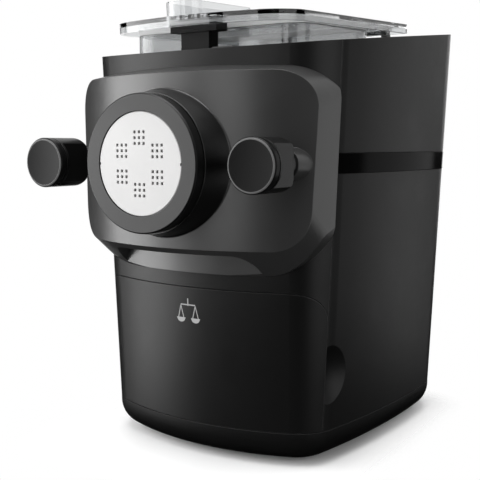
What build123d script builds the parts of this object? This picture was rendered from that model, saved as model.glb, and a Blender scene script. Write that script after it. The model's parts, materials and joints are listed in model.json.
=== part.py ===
from build123d import *
import math
import os

# A countertop pasta machine: it mixes dough in a clear chamber and extrudes it through a shaping disc.
# Millimetres, +Z up, the front faces -Y. Depths are counted rearwards from the face of the shaping disc.

# Driving dimensions
AXIS_Z = 224.0              # height of the auger axis
WALL = 3.0                  # wall of the housings
GAP = 0.3                   # clearance between neighbouring pieces
RUN = 0.08                  # radial clearance of a running shaft
FIT = 0.05                  # radial clearance of a fixed round fit
PRESS = 0.02                # radial clearance of a pressed fit
SEAT = 0.1                  # gap under a piece that rests on another
TAPER_DEG = 2.3             # the body grows wider upwards by this draft
KNOB_PROUD = 1.0            # the knob caps stand this far ahead of the disc

# Feet and base
FOOT_H = 3.0
FOOT_R = 11.0
FOOT_SINK = 2.0
FOOT_X = 62.0
FOOT_FRONT_DEPTH = 106.0
FOOT_REAR_ROOM = 34.0       # from the rear feet to the rear wall
BASE_H = 24.0               # base shoe from its underside to the parting line
BASE_EDGE_R = 21.0
BASE_BOTTOM_Z = FOOT_H
BASE_TOP_Z = BASE_BOTTOM_Z + BASE_H
FLOOR_Z = BASE_BOTTOM_Z + WALL

# Body outline at the parting line
FRONT_DEPTH = 58.6
FRONT_ARC_R = 206.0
CORNER_X = 94.6
SIDE_X = 113.8
SIDE_REAR_ROOM = 62.0       # from the widest place to the rear wall
REAR_ROOM = 12.4            # from the gearbox to the rear wall
REAR_ARC_R = 480.0
REAR_X = 112.0
FRONT_CORNER_R = 36.0
REAR_CORNER_R = 43.0
SEAM_DEPTH = 91.0           # joint between the front pieces and the side shell
SEAM = 0.5                  # width of the visible joint lines

# Top rim: a plane that rises to the rear
RIM_FRONT_Z = AXIS_Z + 80.0
RIM_FRONT_DEPTH = 45.6
RIM_DEG = 6.84
DECK_DROP = 8.0             # the deck lies this far under the rim plane
DECK_T = 2.5

# Trim band
BAND_H = 14.5
BAND_PROUD = 0.7
BAND_SINK = 1.2

# Front panel
PANEL_R = 173.0             # the face is part of an upright cylinder
PANEL_DEPTH = 25.4          # depth of the face at the middle
PANEL_HALF = 103.5          # half width of the face at the height of the axis
PANEL_UP = 63.0
PANEL_DOWN = 60.0
PANEL_SIDE_RUN = 32.0       # depth and width of the bevel at the sides
PANEL_SIDE_GROW = 2.5
PANEL_BEVEL = 24.0          # radial depth of the top and bottom bevels
PANEL_TOP_RISE = 6.2
PANEL_BOTTOM_DROP = 20.6
PANEL_CORNER_R = 28.0       # roundings along the slanted edges, upper and lower
PANEL_LOW_CORNER_R = 36.0
PANEL_OUTER_R = 45.0        # lower corners of the outer edge, in front view
GRIP_HALF = 62.0            # finger grip under the panel
GRIP_CEILING = PANEL_DOWN + 4.0
GRIP_WALL = 3.0             # wall between the grip and the body
GRIP_CORNER_R = 12.0

# Nozzle
NUT_R = 48.0
NUT_FLANGE = 8.5
NUT_LIP = 3.0
NUT_MOUTH_R = 36.0
NUT_BORE_R = 40.0
NUT_SKIRT_R = 44.0
NUT_LENGTH = 26.0
DISC_T = 8.0
DISC_SKIN = 4.0
DISC_SETBACK = 0.4
HOLE = 1.9
HOLE_PITCH = 3.9
HOLE_GROUP_R = 17.8
HOLE_GROUPS = 6
NOTCH_R = 1.2
NOSE_FOOT_R = 52.5
NOSE_FRONT_R = 49.0
NOSE_FOOT_DEPTH = 29.0
NOSE_FILLET = 1.2
TUBE_R = 32.0
TUBE_BORE_R = 26.0
TUBE_WEB = 3.0
WEB_ROOM = 11.0             # from the nut's rear end to the web that carries the tube
TUBE_FLANGE_R = 38.0
TUBE_FLANGE_T = 4.0
TUBE_SEAL_T = 3.0
HOUSING_HOLE_R = 46.0

# Knobs
KNOB_X = 89.8
KNOB_R = 18.2
KNOB_FACE_R = 16.9
KNOB_CAP_T = 5.5
KNOB_DISH = 1.0             # depth of the hollow in the cap, inside a narrow rim
KNOB_RIM = 0.6
KNOB_GROOVE = 1.0
KNOB_GROOVE_R = 15.5
KNOB_FLAT = 11.6
KNOB_BACK_DEPTH = 33.6
KNOB_BACK_R = 4.0
KNOB_NECK_R = 9.2
KNOB_NECK_DEPTH = 42.0
BOSS_FRONT_R = 10.3
BOSS_FOOT_R = 12.2
BOSS_DEPTH = KNOB_NECK_DEPTH + 0.6
STUD_R = 5.0
STUD_END_DEPTH = SEAM_DEPTH - 3.0
INSERT_END = SEAM_DEPTH - SEAM
INSERT_R = 8.0
INSERT_L = 8.0
INSERT_BOSS_R = 12.0

# Drawer
DRAWER_TOP_Z = AXIS_Z - 92.6
DRAWER_CORNER_R = 24.0
TRAY_HALF = 75.0
TRAY_BACK_DEPTH = 168.0
TRAY_ROOM = 9.7             # from the tray to the fan behind it
TRAY_T = 2.5
TRAY_BOTTOM_Z = FLOOR_Z + 28.0
TRAY_TOP_Z = DRAWER_TOP_Z - 8.0
RUNNER_X = 28.0
RUNNER_W = 6.0
SCOOP_Z = 68.0
SCOOP_R = 23.0
SCOOP_DEEP = 6.0

# Mixing chamber
CHAMBER_HALF = 77.0
CHAMBER_FRONT = 86.0
CHAMBER_REAR_ROOM = 36.0    # from the chamber to the gearbox
CHAMBER_T = 3.0
CHAMBER_CORNER_R = 16.0
TROUGH_R = 53.0
SHOULDER_UP = 58.0
FRAME_Z = AXIS_Z - 66.0     # top of the inner frame plate
FRAME_T = 3.0
FRAME_HALF = 94.0
FRAME_SET_IN = 14.0         # the plate starts this far behind the chamber's front
FRAME_REAR_ROOM = 3.0
POST_X = 82.0
POST_R = 5.0
POST_FRONT_SET_IN = 44.0
POST_REAR_SET_OUT = 21.0
SADDLE_FRONT_SET_IN = 18.0
SADDLE_REAR_SET_IN = 25.0
SADDLE_W = 8.0
SADDLE_HALF = 38.0

# Lid, tilted up to the rear
LID_DEG = 3.3
LID_DEPTH = 75.4            # reference depth and height of the underside
LID_Z = AXIS_Z + 98.9
LID_HALF = 80.5             # half widths at the front and at the rear
LID_REAR_HALF = 86.4
LID_T = 7.5
LID_PLATE = 3.0
LID_FRONT_RUN = 27.0        # the lid reaches this far ahead of and behind the reference
LID_REAR_ROOM = 11.6        # from the lid to the control strip
LID_BOW_R = 190.0           # bow of the front edge
LID_FRONT_CORNER = 34.0
LID_REAR_CORNER = 4.0
COLLAR_X0 = -38.0
COLLAR_X1 = -7.0
COLLAR_RUN0 = -2.0
COLLAR_RUN1 = 92.0
COLLAR_H = 14.0
COLLAR_T = 2.5
COLLAR_CORNER = 14.0
INLET_SLOT = 5.0
INLET_SLOTS = 5
HINGE_R = 4.5
HINGE_PIN_R = 2.0
HINGE_X = 50.0
HINGE_L = 20.0
HINGE_LUG = 5.0
HINGE_BACK = 5.5
LATCH_W = 25.0
LATCH_FLANGE_W = 41.0
LATCH_FLANGE_T = 6.0
LATCH_FRONT = 66.0
LATCH_T = 12.0
LATCH_LEDGE = 2.5
LATCH_HEADROOM = 1.8         # from the top of the latch to the plate of the lid
SWITCH_SIZE = (18.0, 8.0, 9.0)

# Control strip on the deck behind the lid
STRIP_W = 25.0
STRIP_REAR_SET = 1.0        # the strip ends this far behind the foot of the rear wall
STRIP_HALF = 82.0
STRIP_T = 3.0
STRIP_CORNER = 5.0
WINDOW_X0 = -66.0
WINDOW_X1 = -10.0
WINDOW_W = 18.0
WINDOW_T = 1.0
BUTTON_R = 6.0
BUTTON_PROUD = 1.6
BUTTON_FLANGE = 1.8
BUTTON_FLANGE_T = 1.3
BUTTON_XS = (10.0, 32.0, 60.0)
BOARD_T = 1.6
BOARD_PEG = 2.0             # pegs under the deck that carry the display board

# Drive train
GEAR_PRESSURE_DEG = 25.0
ADDENDUM = 0.8
DEDENDUM = 1.1
BACKLASH = 0.12
SMALL_TEETH = 14
LARGE_TEETH = 56
FIRST_MODULE = 1.25
SECOND_MODULE = 2.0
FIRST_SPAN = FIRST_MODULE * (SMALL_TEETH + LARGE_TEETH) / 2
SECOND_SPAN = SECOND_MODULE * (SMALL_TEETH + LARGE_TEETH) / 2
IDLER_Z = AXIS_Z - SECOND_SPAN
MOTOR_Z = IDLER_Z - FIRST_SPAN
SHAFT_R = 6.0
SHAFT_SET_OUT = 9.0         # the shaft starts this far behind the paddle
SHAFT_FLAT = 5.0            # half the width across the flats of the hexagon end
SHAFT_ROUND_SET_IN = 8.0    # its round part starts this far inside the chamber
AXLE_R = 4.0
MOTOR_SHAFT_R = 4.0
GEARBOX_PLATE = 3.5
GEARBOX_WALL = 3.0
GEARBOX_HALF = 63.0
GEARBOX_L = 39.0
GEARBOX_ROOM = 5.5          # space around the gears
GEARBOX_LEG = 14.0
COVER_T = 3.5
FIRST_GEAR_SET = 7.0        # from the gearbox's front to the first gear
FIRST_GEAR_W = 9.0
GEAR_GAP = 2.0              # between the first and the second gear
SECOND_GEAR_W = 13.0
BUSH_R = 10.0
BUSH_L = 7.0
SEAL_R = 9.0
MOTOR_R = 40.0
MOTOR_L = 56.0
MOTOR_CAN_T = 2.5
MOTOR_CAP_T = 3.0
STATOR_BORE_R = 23.0
STATOR_L = 36.0
ROTOR_R = 22.2
FAN_R = 34.0
FAN_W = 8.0
FAN_GAP = 5.0               # between the fan and the motor
FAN_BLADES = 7
MOTOR_SCREW_PCD = 58.0

# Auger and paddle
AUGER_R = 24.6
AUGER_CORE_R = 9.0
AUGER_BAR = 9.0
AUGER_FRONT = 14.0
AUGER_FLIGHT_END = 108.0
AUGER_TURN_DEG = 540.0
AUGER_HUB_R = 11.0
PADDLE_R = 46.0
PADDLE_FRONT = 112.0
PADDLE_REAR_ROOM = 37.0     # from the paddle to the rear of the chamber
PADDLE_HUB_R = 13.0
PADDLE_ROD_R = 3.5
PADDLE_ANGLES = (90.0, 210.0, 330.0)

# Rear of the body
GLAND_X = 58.0
GLAND_Z = 40.0
GLAND_HALF = 8.0            # half the width of the notch that the gland fills
GLAND_BORE_R = 4.2
GLAND_FLANGE = 3.0
GLAND_LIP = 3.0             # the flange covers the notch by this much
GLAND_INNER = 6.0
ROCKER_X = -58.0
ROCKER_Z = 54.0
ROCKER_W = 12.0
ROCKER_H = 16.0
ROCKER_R = 7.5
ROCKER_PIVOT = 4.4          # depth of the rocker's axis under the outer surface
ROCKER_DEG = 8.0
ROCKER_STEP = 2.2           # the pressed half lies this much lower
BEZEL = 3.0
BEZEL_PROUD = 0.8
VENT_SLOTS = 8
VENT_W = 3.5
VENT_H = 34.0
VENT_PITCH = 9.0
VENT_Z = 150.0

# Small parts
SCREW_R = 1.7
SCREW_HEAD_R = 3.4
SCREW_HEAD = 2.2
SCREW_SINK = 0.4            # the base screws' heads lie this deep in their pockets
SCREW_BOSS = 4.0            # height of the bosses that the inner frame stands on
SCREW_GRIP = 12.0
LOAD_CELL = (26.0, 11.0, 8.0)
CAPACITOR_R = 15.0
CAPACITOR_L = 46.0
POWER_BOARD = (74.0, 46.0)
STANDOFF = 6.0
STANDOFF_R = 3.0
FAR = 600.0

# Derived depths, from the drawer's tray rearwards
FAN_FRONT = TRAY_BACK_DEPTH + TRAY_ROOM
MOTOR_FRONT = FAN_FRONT + FAN_W + FAN_GAP
GEARBOX_FRONT = MOTOR_FRONT + MOTOR_L + GAP
GEARBOX_REAR = GEARBOX_FRONT + GEARBOX_L
COVER_FRONT = GEARBOX_REAR + SEAT
REAR_DEPTH = COVER_FRONT + COVER_T + REAR_ROOM
SIDE_DEPTH = REAR_DEPTH - SIDE_REAR_ROOM
FIRST_GEAR_FRONT = GEARBOX_FRONT + FIRST_GEAR_SET
SECOND_GEAR_FRONT = FIRST_GEAR_FRONT + FIRST_GEAR_W + GEAR_GAP
CHAMBER_REAR = GEARBOX_FRONT - CHAMBER_REAR_ROOM
PADDLE_REAR = CHAMBER_REAR - PADDLE_REAR_ROOM
SHAFT_FRONT = PADDLE_REAR + SHAFT_SET_OUT
SHAFT_ROUND = CHAMBER_REAR - SHAFT_ROUND_SET_IN
FRAME_FRONT = CHAMBER_FRONT + FRAME_SET_IN
FRAME_REAR = GEARBOX_FRONT - FRAME_REAR_ROOM
POST_DEPTHS = (CHAMBER_FRONT + POST_FRONT_SET_IN, CHAMBER_REAR + POST_REAR_SET_OUT)
SADDLE_DEPTHS = (CHAMBER_FRONT + SADDLE_FRONT_SET_IN, CHAMBER_REAR - SADDLE_REAR_SET_IN)
FOOT_DEPTHS = (FOOT_FRONT_DEPTH, REAR_DEPTH - FOOT_REAR_ROOM)
STRIP_REAR = REAR_DEPTH + STRIP_REAR_SET
STRIP_FRONT = STRIP_REAR - STRIP_W
LID_REAR_RUN = STRIP_FRONT - LID_REAR_ROOM - LID_DEPTH
WEB_FRONT = NUT_LENGTH + WEB_ROOM

# Derived heights
SCREW_SEAT_Z = BASE_BOTTOM_Z + SCREW_SINK + SCREW_HEAD + SEAT
SCREW_TOP_Z = FLOOR_Z + SCREW_BOSS + SCREW_GRIP
TAPER = math.tan(math.radians(TAPER_DEG))
RIM = math.tan(math.radians(RIM_DEG))
RIM_REAR_Z = RIM_FRONT_Z + RIM * (REAR_DEPTH - BASE_TOP_Z * TAPER - RIM_FRONT_DEPTH)
RIM_REAR_Z = RIM_REAR_Z / (1 - RIM * TAPER)
BODY_REAR = REAR_DEPTH + (RIM_REAR_Z - BASE_TOP_Z) * TAPER
FACE_Y = (KNOB_PROUD - BODY_REAR) / 2
GEARBOX_TOP = AXIS_Z + SECOND_MODULE * LARGE_TEETH / 2 + GEARBOX_ROOM
GEARBOX_BOTTOM = MOTOR_Z - MOTOR_R + GEARBOX_ROOM


def at(depth):
    """Y of a depth behind the face of the shaping disc."""
    return FACE_Y + depth


def box(x0, x1, d0, d1, z0, z1):
    """Block between two depths."""
    return Pos((x0 + x1) / 2, at((d0 + d1) / 2), (z0 + z1) / 2) * Box(x1 - x0, d1 - d0, z1 - z0)


def rod(r, d0, d1, x=0.0, z=AXIS_Z):
    """Cylinder that lies along Y."""
    return Pos(x, at((d0 + d1) / 2), z) * Rot(90, 0, 0) * Cylinder(r, d1 - d0)


def pipe(r, bore, d0, d1, x=0.0, z=AXIS_Z):
    """Tube that lies along Y."""
    return rod(r, d0, d1, x, z) - rod(bore, d0 - 1, d1 + 1, x, z)


def post(r, z0, z1, x, depth):
    """Upright cylinder."""
    return Pos(x, at(depth), (z0 + z1) / 2) * Cylinder(r, z1 - z0)


def turned(points, x=0.0, z=AXIS_Z):
    """Solid of revolution about an axis along Y, from (radius, depth) points."""
    outline = Polyline(*[(r, at(d)) for r, d in points], close=True)
    return Pos(x, 0, z) * revolve(make_face(outline), Axis.Y)


def hexagon(flat, d0, d1, z=AXIS_Z):
    """Hexagonal bar along Y, by half its width across the flats."""
    bar = extrude(RegularPolygon(flat, 6, major_radius=False), d1 - d0)
    return Pos(0, at(d1), z) * Rot(90, 0, 0) * bar


def both(shape):
    """A shape and its mirror image."""
    return shape + mirror(shape, Plane.YZ)


def group(shapes):
    """Several like solids as one piece."""
    return Compound([solid for shape in shapes for solid in shape.solids()])


def arc_sag(x, radius):
    return radius - math.sqrt(radius * radius - x * x)


# Body block: the outline at the parting line, drawn out upwards with the draft
def circle_through(a, b, c):
    """Centre and radius of the circle through three points."""
    (ax, ay), (bx, by), (cx, cy) = a, b, c
    d = 2 * (ax * (by - cy) + bx * (cy - ay) + cx * (ay - by))
    aa, bb, cc = ax * ax + ay * ay, bx * bx + by * by, cx * cx + cy * cy
    x = (aa * (by - cy) + bb * (cy - ay) + cc * (ay - by)) / d
    y = (aa * (cx - bx) + bb * (ax - cx) + cc * (bx - ax)) / d
    return (x, y), math.hypot(ax - x, ay - y)


def corner_centre(first, second, radius, near):
    """Centre of a rounding that touches two circles from inside, on the side of a nearby point."""
    (ax, ay), ra = first
    (bx, by), rb = second
    ra, rb = ra - radius, rb - radius
    span = math.hypot(bx - ax, by - ay)
    along = (ra * ra - rb * rb + span * span) / (2 * span)
    across = math.sqrt(ra * ra - along * along)
    ux, uy = (bx - ax) / span, (by - ay) / span
    spots = [(ax + along * ux - s * across * uy, ay + along * uy + s * across * ux) for s in (-1, 1)]
    return min(spots, key=lambda q: math.hypot(q[0] - near[0], q[1] - near[1]))


def touch_point(circle, towards, grow):
    (x, y), r = circle
    length = math.hypot(towards[0] - x, towards[1] - y)
    k = (r + grow) / length
    return (x + (towards[0] - x) * k, y + (towards[1] - y) * k)


def body_circles():
    front_corner = (CORNER_X, at(FRONT_DEPTH + arc_sag(CORNER_X, FRONT_ARC_R)))
    rear_corner = (REAR_X, at(REAR_DEPTH - arc_sag(REAR_X, REAR_ARC_R)))
    front = ((0, at(FRONT_DEPTH + FRONT_ARC_R)), FRONT_ARC_R)
    side = circle_through(front_corner, (SIDE_X, at(SIDE_DEPTH)), rear_corner)
    rear = ((0, at(REAR_DEPTH - REAR_ARC_R)), REAR_ARC_R)
    front_round = (corner_centre(front, side, FRONT_CORNER_R, front_corner), FRONT_CORNER_R)
    rear_round = (corner_centre(rear, side, REAR_CORNER_R, rear_corner), REAR_CORNER_R)
    return front, front_round, side, rear_round, rear


def body_outline(grow):
    """Outline at the parting line, grown outwards by a distance."""
    front, front_round, side, rear_round, rear = body_circles()
    joints = [
        touch_point(front, front_round[0], grow), touch_point(side, front_round[0], grow),
        touch_point(side, rear_round[0], grow), touch_point(rear, rear_round[0], grow),
    ]

    def middle(circle, a, b):
        return touch_point(circle, ((a[0] + b[0]) / 2, (a[1] + b[1]) / 2), grow)

    def left(point):
        return (-point[0], point[1])

    a, b, c, d = joints
    first = middle(front_round, a, b)
    second = middle(side, b, c)
    third = middle(rear_round, c, d)
    return make_face([
        ThreePointArc(left(a), (0, at(FRONT_DEPTH - grow)), a),
        ThreePointArc(a, first, b), ThreePointArc(b, second, c), ThreePointArc(c, third, d),
        ThreePointArc(d, (0, at(REAR_DEPTH + grow)), left(d)),
        ThreePointArc(left(d), left(third), left(c)), ThreePointArc(left(c), left(second), left(b)),
        ThreePointArc(left(b), left(first), left(a)),
    ])


def body_block(inset):
    height = RIM_REAR_Z - BASE_TOP_Z + 20
    low = Pos(0, 0, BASE_TOP_Z) * body_outline(-inset)
    high = Pos(0, 0, BASE_TOP_Z + height) * body_outline(height * TAPER - inset)
    return loft([low, high], ruled=True)


def tilted(depth, z, degrees):
    """Plane through a depth and height that rises to the rear."""
    slope = math.radians(degrees)
    return Plane((0, at(depth), z), (1, 0, 0), (0, -math.sin(slope), math.cos(slope)))


RIM_PLANE = tilted(RIM_FRONT_DEPTH, RIM_FRONT_Z, RIM_DEG)
DECK_PLANE = tilted(RIM_FRONT_DEPTH, RIM_FRONT_Z - DECK_DROP, RIM_DEG)
LID_PLANE = tilted(LID_DEPTH, LID_Z, LID_DEG)


def on_deck(depth):
    """Distance along the deck from its reference line to a depth."""
    return (depth - RIM_FRONT_DEPTH) / math.cos(math.radians(RIM_DEG))


def slab(plane, x0, x1, v0, v1, w0, w1):
    """Block in a tilted plane: v runs up the slope, w stands on it."""
    return plane * Pos((x0 + x1) / 2, (v0 + v1) / 2, (w0 + w1) / 2) * Box(x1 - x0, v1 - v0, w1 - w0)


def pin(plane, r, x, v, w0, w1):
    """Cylinder that stands on a tilted plane."""
    return plane * Pos(x, v, (w0 + w1) / 2) * Cylinder(r, w1 - w0)


def soft_slab(plane, x0, x1, v0, v1, w0, w1, radii):
    """Block in a tilted plane with rounded corners: front and rear radius."""
    face = Pos((x0 + x1) / 2, (v0 + v1) / 2) * Rectangle(x1 - x0, v1 - v0)
    corners = face.vertices().sort_by(Axis.Y)
    face = fillet(corners[:2], radii[0])
    corners = face.vertices().sort_by(Axis.Y)
    face = fillet(corners[-2:], radii[1])
    return plane * Pos(0, 0, w0) * extrude(face, w1 - w0)


OUTER = body_block(0)
INNER = body_block(WALL)
CLEAR = body_block(WALL + GAP)
SKIN = OUTER - INNER
ABOVE_RIM = slab(RIM_PLANE, -FAR, FAR, -FAR, FAR, 0, FAR)


# Drawer outline in side view, with a rounded upper rear corner
def drawer_profile(grow):
    d1 = SEAM_DEPTH - SEAM
    z1 = DRAWER_TOP_Z + grow
    centre = ((at(-FAR) + at(d1)) / 2, (BASE_TOP_Z + SEAM + z1) / 2)
    face = Plane.YZ * Pos(*centre) * Rectangle(at(d1) - at(-FAR), z1 - BASE_TOP_Z - SEAM)
    corner = face.vertices().sort_by(Axis.Y)[-2:].sort_by(Axis.Z)[-1]
    return extrude(fillet(corner, DRAWER_CORNER_R), FAR, both=True)


def make_scoop():
    """Dished finger scoop beside the drawer, with the thicker wall that it is pressed into."""
    side = body_circles()[2]
    (x, y), r = side
    lift = (SCOOP_Z - BASE_TOP_Z) * TAPER
    dy = at(SEAM_DEPTH) - y
    dx = math.sqrt(r * r - dy * dy)
    normal = (dx / r, dy / r)
    ball = (SCOOP_R ** 2 + SCOOP_DEEP ** 2) / (2 * SCOOP_DEEP)
    reach = r + lift + ball - SCOOP_DEEP
    scoop = Pos(x + normal[0] * reach, y + normal[1] * reach, SCOOP_Z) * Sphere(ball)
    wide = SCOOP_R + 2 * WALL
    pads = (OUTER - body_block(2 * WALL + SCOOP_DEEP)) & box(
        0, FAR, SEAM_DEPTH, SEAM_DEPTH + wide, SCOOP_Z - wide, SCOOP_Z + wide)
    return scoop, pads


def rocker_opening(grow):
    """Opening in the rear wall for the power switch."""
    w, h = ROCKER_W / 2 + grow, ROCKER_H / 2 + grow
    return box(ROCKER_X - w, ROCKER_X + w, SIDE_DEPTH, FAR, ROCKER_Z - h, ROCKER_Z + h)


def gland_notch(grow):
    """Notch at the lower edge of the rear wall, for the cord gland."""
    half = GLAND_HALF + grow
    return box(
        GLAND_X - half, GLAND_X + half, SIDE_DEPTH, FAR, BASE_TOP_Z + GAP, GLAND_Z + half)


def make_housings():
    band_z0 = AXIS_Z - BAND_H / 2
    band_z1 = AXIS_Z + BAND_H / 2
    behind = box(-FAR, FAR, SEAM_DEPTH, FAR, BASE_TOP_Z + GAP, FAR)
    rear = SKIN & behind
    scoop, pads = make_scoop()
    rear = (rear + both(pads)) - both(scoop)
    groove = body_block(-WALL) - body_block(BAND_SINK)
    rear = rear - (groove & box(-FAR, FAR, 0, FAR, band_z0 - SEAT, band_z1 + SEAT))
    first_vent = -(VENT_SLOTS - 1) / 2 * VENT_PITCH
    for i in range(VENT_SLOTS):
        x = first_vent + i * VENT_PITCH
        rear = rear - box(x - VENT_W / 2, x + VENT_W / 2, SIDE_DEPTH, FAR, VENT_Z, VENT_Z + VENT_H)
    rear = rear - gland_notch(GAP)
    rear = rear - rocker_opening(BEZEL)
    rear = rear - ABOVE_RIM

    band = (body_block(-BAND_PROUD) - body_block(BAND_SINK - SEAT)) & box(
        -FAR, FAR, SEAM_DEPTH, FAR, band_z0, band_z1)

    ahead = box(-FAR, FAR, -FAR, SEAM_DEPTH - SEAM, BASE_TOP_Z + SEAM, FAR)
    front = (SKIN & ahead) - drawer_profile(SEAM) - ABOVE_RIM
    bosses = both(rod(INSERT_BOSS_R, 0, INSERT_END, KNOB_X)) & OUTER
    front = front + bosses
    front = front - rod(HOUSING_HOLE_R, 0, CHAMBER_FRONT)
    front = front - both(rod(STUD_R + 2 * GAP, 0, FAR, KNOB_X))
    front = front - both(rod(INSERT_R + SEAT, INSERT_END - INSERT_L, FAR, KNOB_X))

    drawer_front = SKIN & ahead & drawer_profile(0)
    return rear, band, front, drawer_front


def base_room(inset):
    """Block with the rounded lower edge of the base shoe, shrunk by a wall thickness."""
    block = Pos(0, 0, BASE_BOTTOM_Z + inset) * extrude(body_outline(-inset), 2 * BASE_H)
    return fillet(block.faces().sort_by(Axis.Z)[0].edges(), BASE_EDGE_R - inset)


def make_base():
    shoe = base_room(0) - box(-FAR, FAR, -FAR, FAR, BASE_TOP_Z, FAR)
    shoe = shoe - base_room(WALL)
    for x in (-1, 1):
        for depth in FOOT_DEPTHS:
            shoe = shoe - post(FOOT_R + GAP / 2, 0, BASE_BOTTOM_Z + FOOT_SINK, x * FOOT_X, depth)
        for depth in POST_DEPTHS:
            spot = (x * POST_X, depth)
            shoe = shoe + post(POST_R, FLOOR_Z - WALL / 2, FLOOR_Z + SCREW_BOSS, *spot)
            shoe = shoe - post(SCREW_R + GAP, 0, BASE_TOP_Z, *spot)
            shoe = shoe - post(SCREW_HEAD_R + GAP, 0, SCREW_SEAT_Z, *spot)
    for x in (-1, 1):
        for y in (-1, 1):
            spot = (x * (POWER_BOARD[0] / 2 - 5), MOTOR_FRONT + MOTOR_L / 2 + y * (POWER_BOARD[1] / 2 - 5))
            shoe = shoe + post(STANDOFF_R, FLOOR_Z - 1, FLOOR_Z + STANDOFF, *spot)
    return shoe


# Front panel: a bevelled plate bent about an upright axis, hollow behind, with the nose and knob bosses
def panel_outline(inset):
    """Prism with the outer edge of the panel in front view."""
    low = AXIS_Z - PANEL_DOWN - PANEL_BOTTOM_DROP + inset
    high = AXIS_Z + PANEL_UP + PANEL_TOP_RISE - inset
    half = PANEL_HALF + PANEL_SIDE_GROW + SEAM - inset
    foot, head = [half + (z - AXIS_Z) * TAPER for z in (low, high)]
    corners = [(-foot, low), (foot, low), (head, high), (-head, high)]
    face = Plane.XZ * make_face(Polyline(*corners, close=True))
    face = fillet(face.vertices().sort_by(Axis.Z)[:2], PANEL_OUTER_R - inset)
    return extrude(face, FAR, both=True)


def slanted_edges(plate, side):
    """Edges that run back from the corners of the face: side 1 is the upper pair, -1 the lower."""
    return [
        e for e in plate.edges()
        if abs(e.center().X) > PANEL_HALF - 2 * WALL - 8
        and e.bounding_box().size.Y > 5
        and e.bounding_box().size.Z < PANEL_UP
        and (e.center().Z - AXIS_Z) * side > 0
    ]


def panel_block(inset):
    reach = 2 * PANEL_BEVEL
    top, bottom = AXIS_Z + PANEL_UP - inset, AXIS_Z - PANEL_DOWN + inset
    steep = reach / PANEL_BEVEL
    r = PANEL_R - inset
    points = [
        (r, bottom), (r, top),
        (r - reach, top + PANEL_TOP_RISE * steep), (r - reach, bottom - PANEL_BOTTOM_DROP * steep),
    ]
    axis_y = at(PANEL_DEPTH + PANEL_R)
    profile = Plane.XZ * make_face(Polyline(*points, close=True))
    plate = Pos(0, axis_y, 0) * revolve(profile, Axis.Z)
    edge = PANEL_DEPTH + arc_sag(PANEL_HALF, PANEL_R)
    grow = PANEL_SIDE_GROW / PANEL_SIDE_RUN
    ahead = edge - 40
    behind = edge + PANEL_SIDE_RUN + 20
    x0 = PANEL_HALF - inset + (ahead - edge) * grow
    x1 = PANEL_HALF - inset + (behind - edge) * grow
    ends = []
    for z in (0, FAR):
        lean = (z - AXIS_Z) * TAPER
        a, b = x0 + lean, x1 + lean
        corners = [(-a, at(ahead)), (a, at(ahead)), (b, at(behind)), (-b, at(behind))]
        ends.append(Pos(0, 0, z) * make_face(Polyline(*corners, close=True)))
    plate = plate & loft(ends, ruled=True)
    plate = fillet(slanted_edges(plate, 1), PANEL_CORNER_R - inset)
    plate = fillet(slanted_edges(plate, -1), PANEL_LOW_CORNER_R - inset)
    ahead = box(-FAR, FAR, -FAR, SEAM_DEPTH - 2 * SEAM, 0, FAR)
    return plate & panel_outline(inset) & ahead


def make_panel():
    against = body_block(-GAP)
    plate = panel_block(0)
    start = NUT_FLANGE + SEAM
    end = PANEL_DEPTH + 20
    end_r = NOSE_FRONT_R + (NOSE_FOOT_R - NOSE_FRONT_R) * (end - start) / (NOSE_FOOT_DEPTH - start)
    nose = turned([(0, start), (NOSE_FRONT_R, start), (end_r, end), (0, end)])
    outside = plate + nose
    foot = [
        e for e in outside.edges()
        if e.geom_type not in (GeomType.LINE, GeomType.CIRCLE)
        and abs(e.center().X) < NOSE_FOOT_R + 5
        and abs(e.center().Z - AXIS_Z) < NOSE_FOOT_R + 5
    ]
    outside = fillet(foot, NOSE_FILLET)
    bosses = both(turned([
        (0, BOSS_DEPTH), (BOSS_FRONT_R, BOSS_DEPTH), (BOSS_FOOT_R, BOSS_DEPTH + 16),
        (BOSS_FOOT_R, BOSS_DEPTH + 34), (0, BOSS_DEPTH + 34)], KNOB_X))
    panel = outside - panel_block(WALL)
    panel = panel + pipe(HOUSING_HOLE_R + WALL, TUBE_R + GAP, WEB_FRONT, WEB_FRONT + TUBE_WEB)
    panel = panel + pipe(NOSE_FOOT_R - 1, HOUSING_HOLE_R - 1, PANEL_DEPTH, WEB_FRONT + TUBE_WEB)
    grip_z = AXIS_Z - GRIP_CEILING
    lining = box(-GRIP_HALF - WALL, GRIP_HALF + WALL, 0, FAR, 0, grip_z + WALL) & panel_block(0)
    panel = panel + (lining - rod(HOUSING_HOLE_R + WALL, 0, FAR)) + bosses
    mouth = Plane.XZ * Pos(0, grip_z - 30) * Rectangle(2 * GRIP_HALF, 60)
    mouth = fillet(mouth.vertices().sort_by(Axis.Z)[-2:], GRIP_CORNER_R)
    panel = panel - (Pos(0, at(SEAM_DEPTH), 0) * extrude(mouth, FAR) - body_block(-GAP - GRIP_WALL))
    panel = panel - rod(HOUSING_HOLE_R - 1, 0, WEB_FRONT)
    panel = panel - rod(TUBE_R + GAP, 0, FAR)
    panel = panel - both(rod(STUD_R + GAP, 0, FAR, KNOB_X))
    return panel - against


# Nozzle: nut, disc, tube
def make_nut():
    nut = turned([
        (NUT_MOUTH_R, 0), (NUT_R - 1, 0), (NUT_R, 1), (NUT_R, NUT_FLANGE), (NUT_SKIRT_R, NUT_FLANGE),
        (NUT_SKIRT_R, NUT_LENGTH), (NUT_BORE_R, NUT_LENGTH), (NUT_BORE_R, NUT_LIP), (NUT_MOUTH_R, NUT_LIP)])
    return nut


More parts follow.
